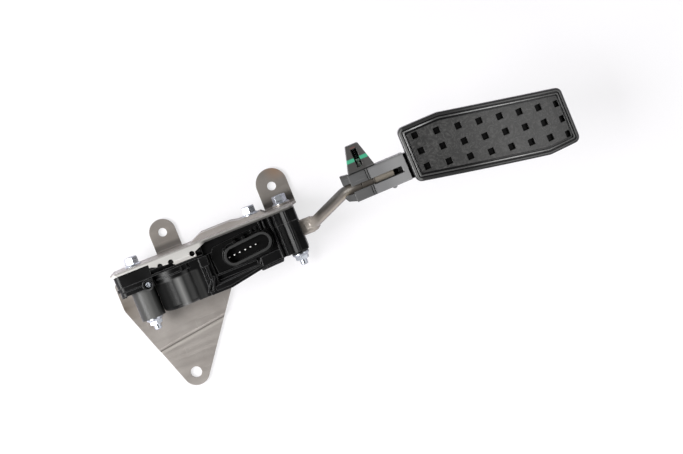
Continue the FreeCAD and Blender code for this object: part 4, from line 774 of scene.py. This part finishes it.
def table_top():
    """White table: a large flat sheet just under the part, which keeps only a hint of the shadows it receives."""
    half_width, level = 3000.0, -0.05
    glow_share = 0.68
    points = np.array([(x, y, level) for x, y in (
        (-half_width, -half_width), (half_width, -half_width), (half_width, half_width), (-half_width, half_width))])
    mesh = bpy.data.meshes.new("table_top")
    mesh.from_pydata((points * MM).tolist(), [], [(0, 1, 2, 3)])
    table = bpy.data.objects.new("table_top", mesh)
    bpy.context.scene.collection.objects.link(table)
    finish = Finish("table_white")
    finish.feed((0.92, 0.89, 0.95), finish.shader.inputs["Base Color"])
    finish.feed(0.75, finish.shader.inputs["Roughness"])
    finish.feed(0.2, finish.shader.inputs["Specular IOR Level"])
    glow = finish.add("Emission")
    finish.feed((1, 1, 1), glow.inputs["Color"])
    mix = finish.add("MixShader")
    seen = finish.add("LightPath").outputs["Is Camera Ray"]
    finish.link(finish.spread(seen, (0.0, 1.0), (0.0, glow_share)), mix.inputs["Fac"])
    finish.link(finish.shader.outputs["BSDF"], mix.inputs[1])
    finish.link(glow.outputs["Emission"], mix.inputs[2])
    finish.link(mix.outputs["Shader"], finish.nodes["Material Output"].inputs["Surface"])
    mesh.materials.append(finish.material)


def soft_lamp(name, place, size, power):
    """Square soft lamp that faces the middle of the part."""
    middle = Vector((0.16, 0.07, 0.03))
    light = bpy.data.lights.new(name, "AREA")
    light.shape = "SQUARE"
    light.size = size
    light.energy = power
    lamp = bpy.data.objects.new(name, light)
    bpy.context.scene.collection.objects.link(lamp)
    lamp.location = place
    lamp.rotation_euler = (middle - Vector(place)).to_track_quat("-Z", "Y").to_euler()


def studio_light():
    """Soft lamps round the table, and a room whose walls are bright, more so on the left, and whose ceiling is dim."""
    wall_strength, ceiling_strength = 1.0, 0.05
    left_share, right_share = 1.2, 0.5
    soft_lamp("left_light", (-0.8, 0.18, 0.95), 0.7, 20.0)
    soft_lamp("right_light", (1.0, -0.1, 0.75), 0.6, 3.0)
    soft_lamp("near_light", (-0.2, -0.9, 0.8), 0.7, 4.0)
    world = bpy.data.worlds.new("white_room")
    world.use_nodes = True
    room = Board(world.node_tree)
    direction = room.add("SeparateXYZ")
    room.link(room.add("TexCoord").outputs["Generated"], direction.inputs["Vector"])
    height = room.spread(direction.outputs["Z"], (0.4, 0.8), (wall_strength, ceiling_strength))
    side = room.spread(direction.outputs["X"], (-0.7, 0.7), (left_share, right_share))
    background = room.nodes["Background"]
    room.feed((1, 1, 1), background.inputs["Color"])
    room.link(room.both(height, side), background.inputs["Strength"])
    bpy.context.scene.world = world


def camera_view():
    """Camera nearly straight above: its upward axis leans by the tilt, and the picture is turned by the roll."""
    tilt, roll = math.radians(5.2), math.radians(23.0)
    picture_width, focal_pixels = 683.0, 1586.0
    aim_along, aim_ahead, distance = 156.34, 63.05, 1300.0
    side = Vector((math.cos(foot_turn), math.sin(foot_turn), 0))
    ahead = Vector((-math.sin(foot_turn), math.cos(foot_turn), 0))
    upward = Vector((0, 0, 1))
    backward = ahead * math.sin(tilt) + upward * math.cos(tilt)
    over = ahead * math.cos(tilt) - upward * math.sin(tilt)
    right = side * math.cos(roll) - over * math.sin(roll)
    up = side * math.sin(roll) + over * math.cos(roll)
    lens = bpy.data.cameras.new("camera")
    lens.sensor_width = 36.0
    lens.lens = focal_pixels / picture_width * lens.sensor_width
    lens.clip_start = 0.05
    camera = bpy.data.objects.new("camera", lens)
    bpy.context.scene.collection.objects.link(camera)
    place = (side * aim_along + ahead * aim_ahead) * MM + backward * distance * MM
    turn = Matrix((right, up, backward)).transposed().to_4x4()
    camera.matrix_world = Matrix.Translation(place) @ turn
    bpy.context.scene.camera = camera


table_top()
studio_light()
camera_view()
bpy.context.scene.view_settings.view_transform = "Standard"
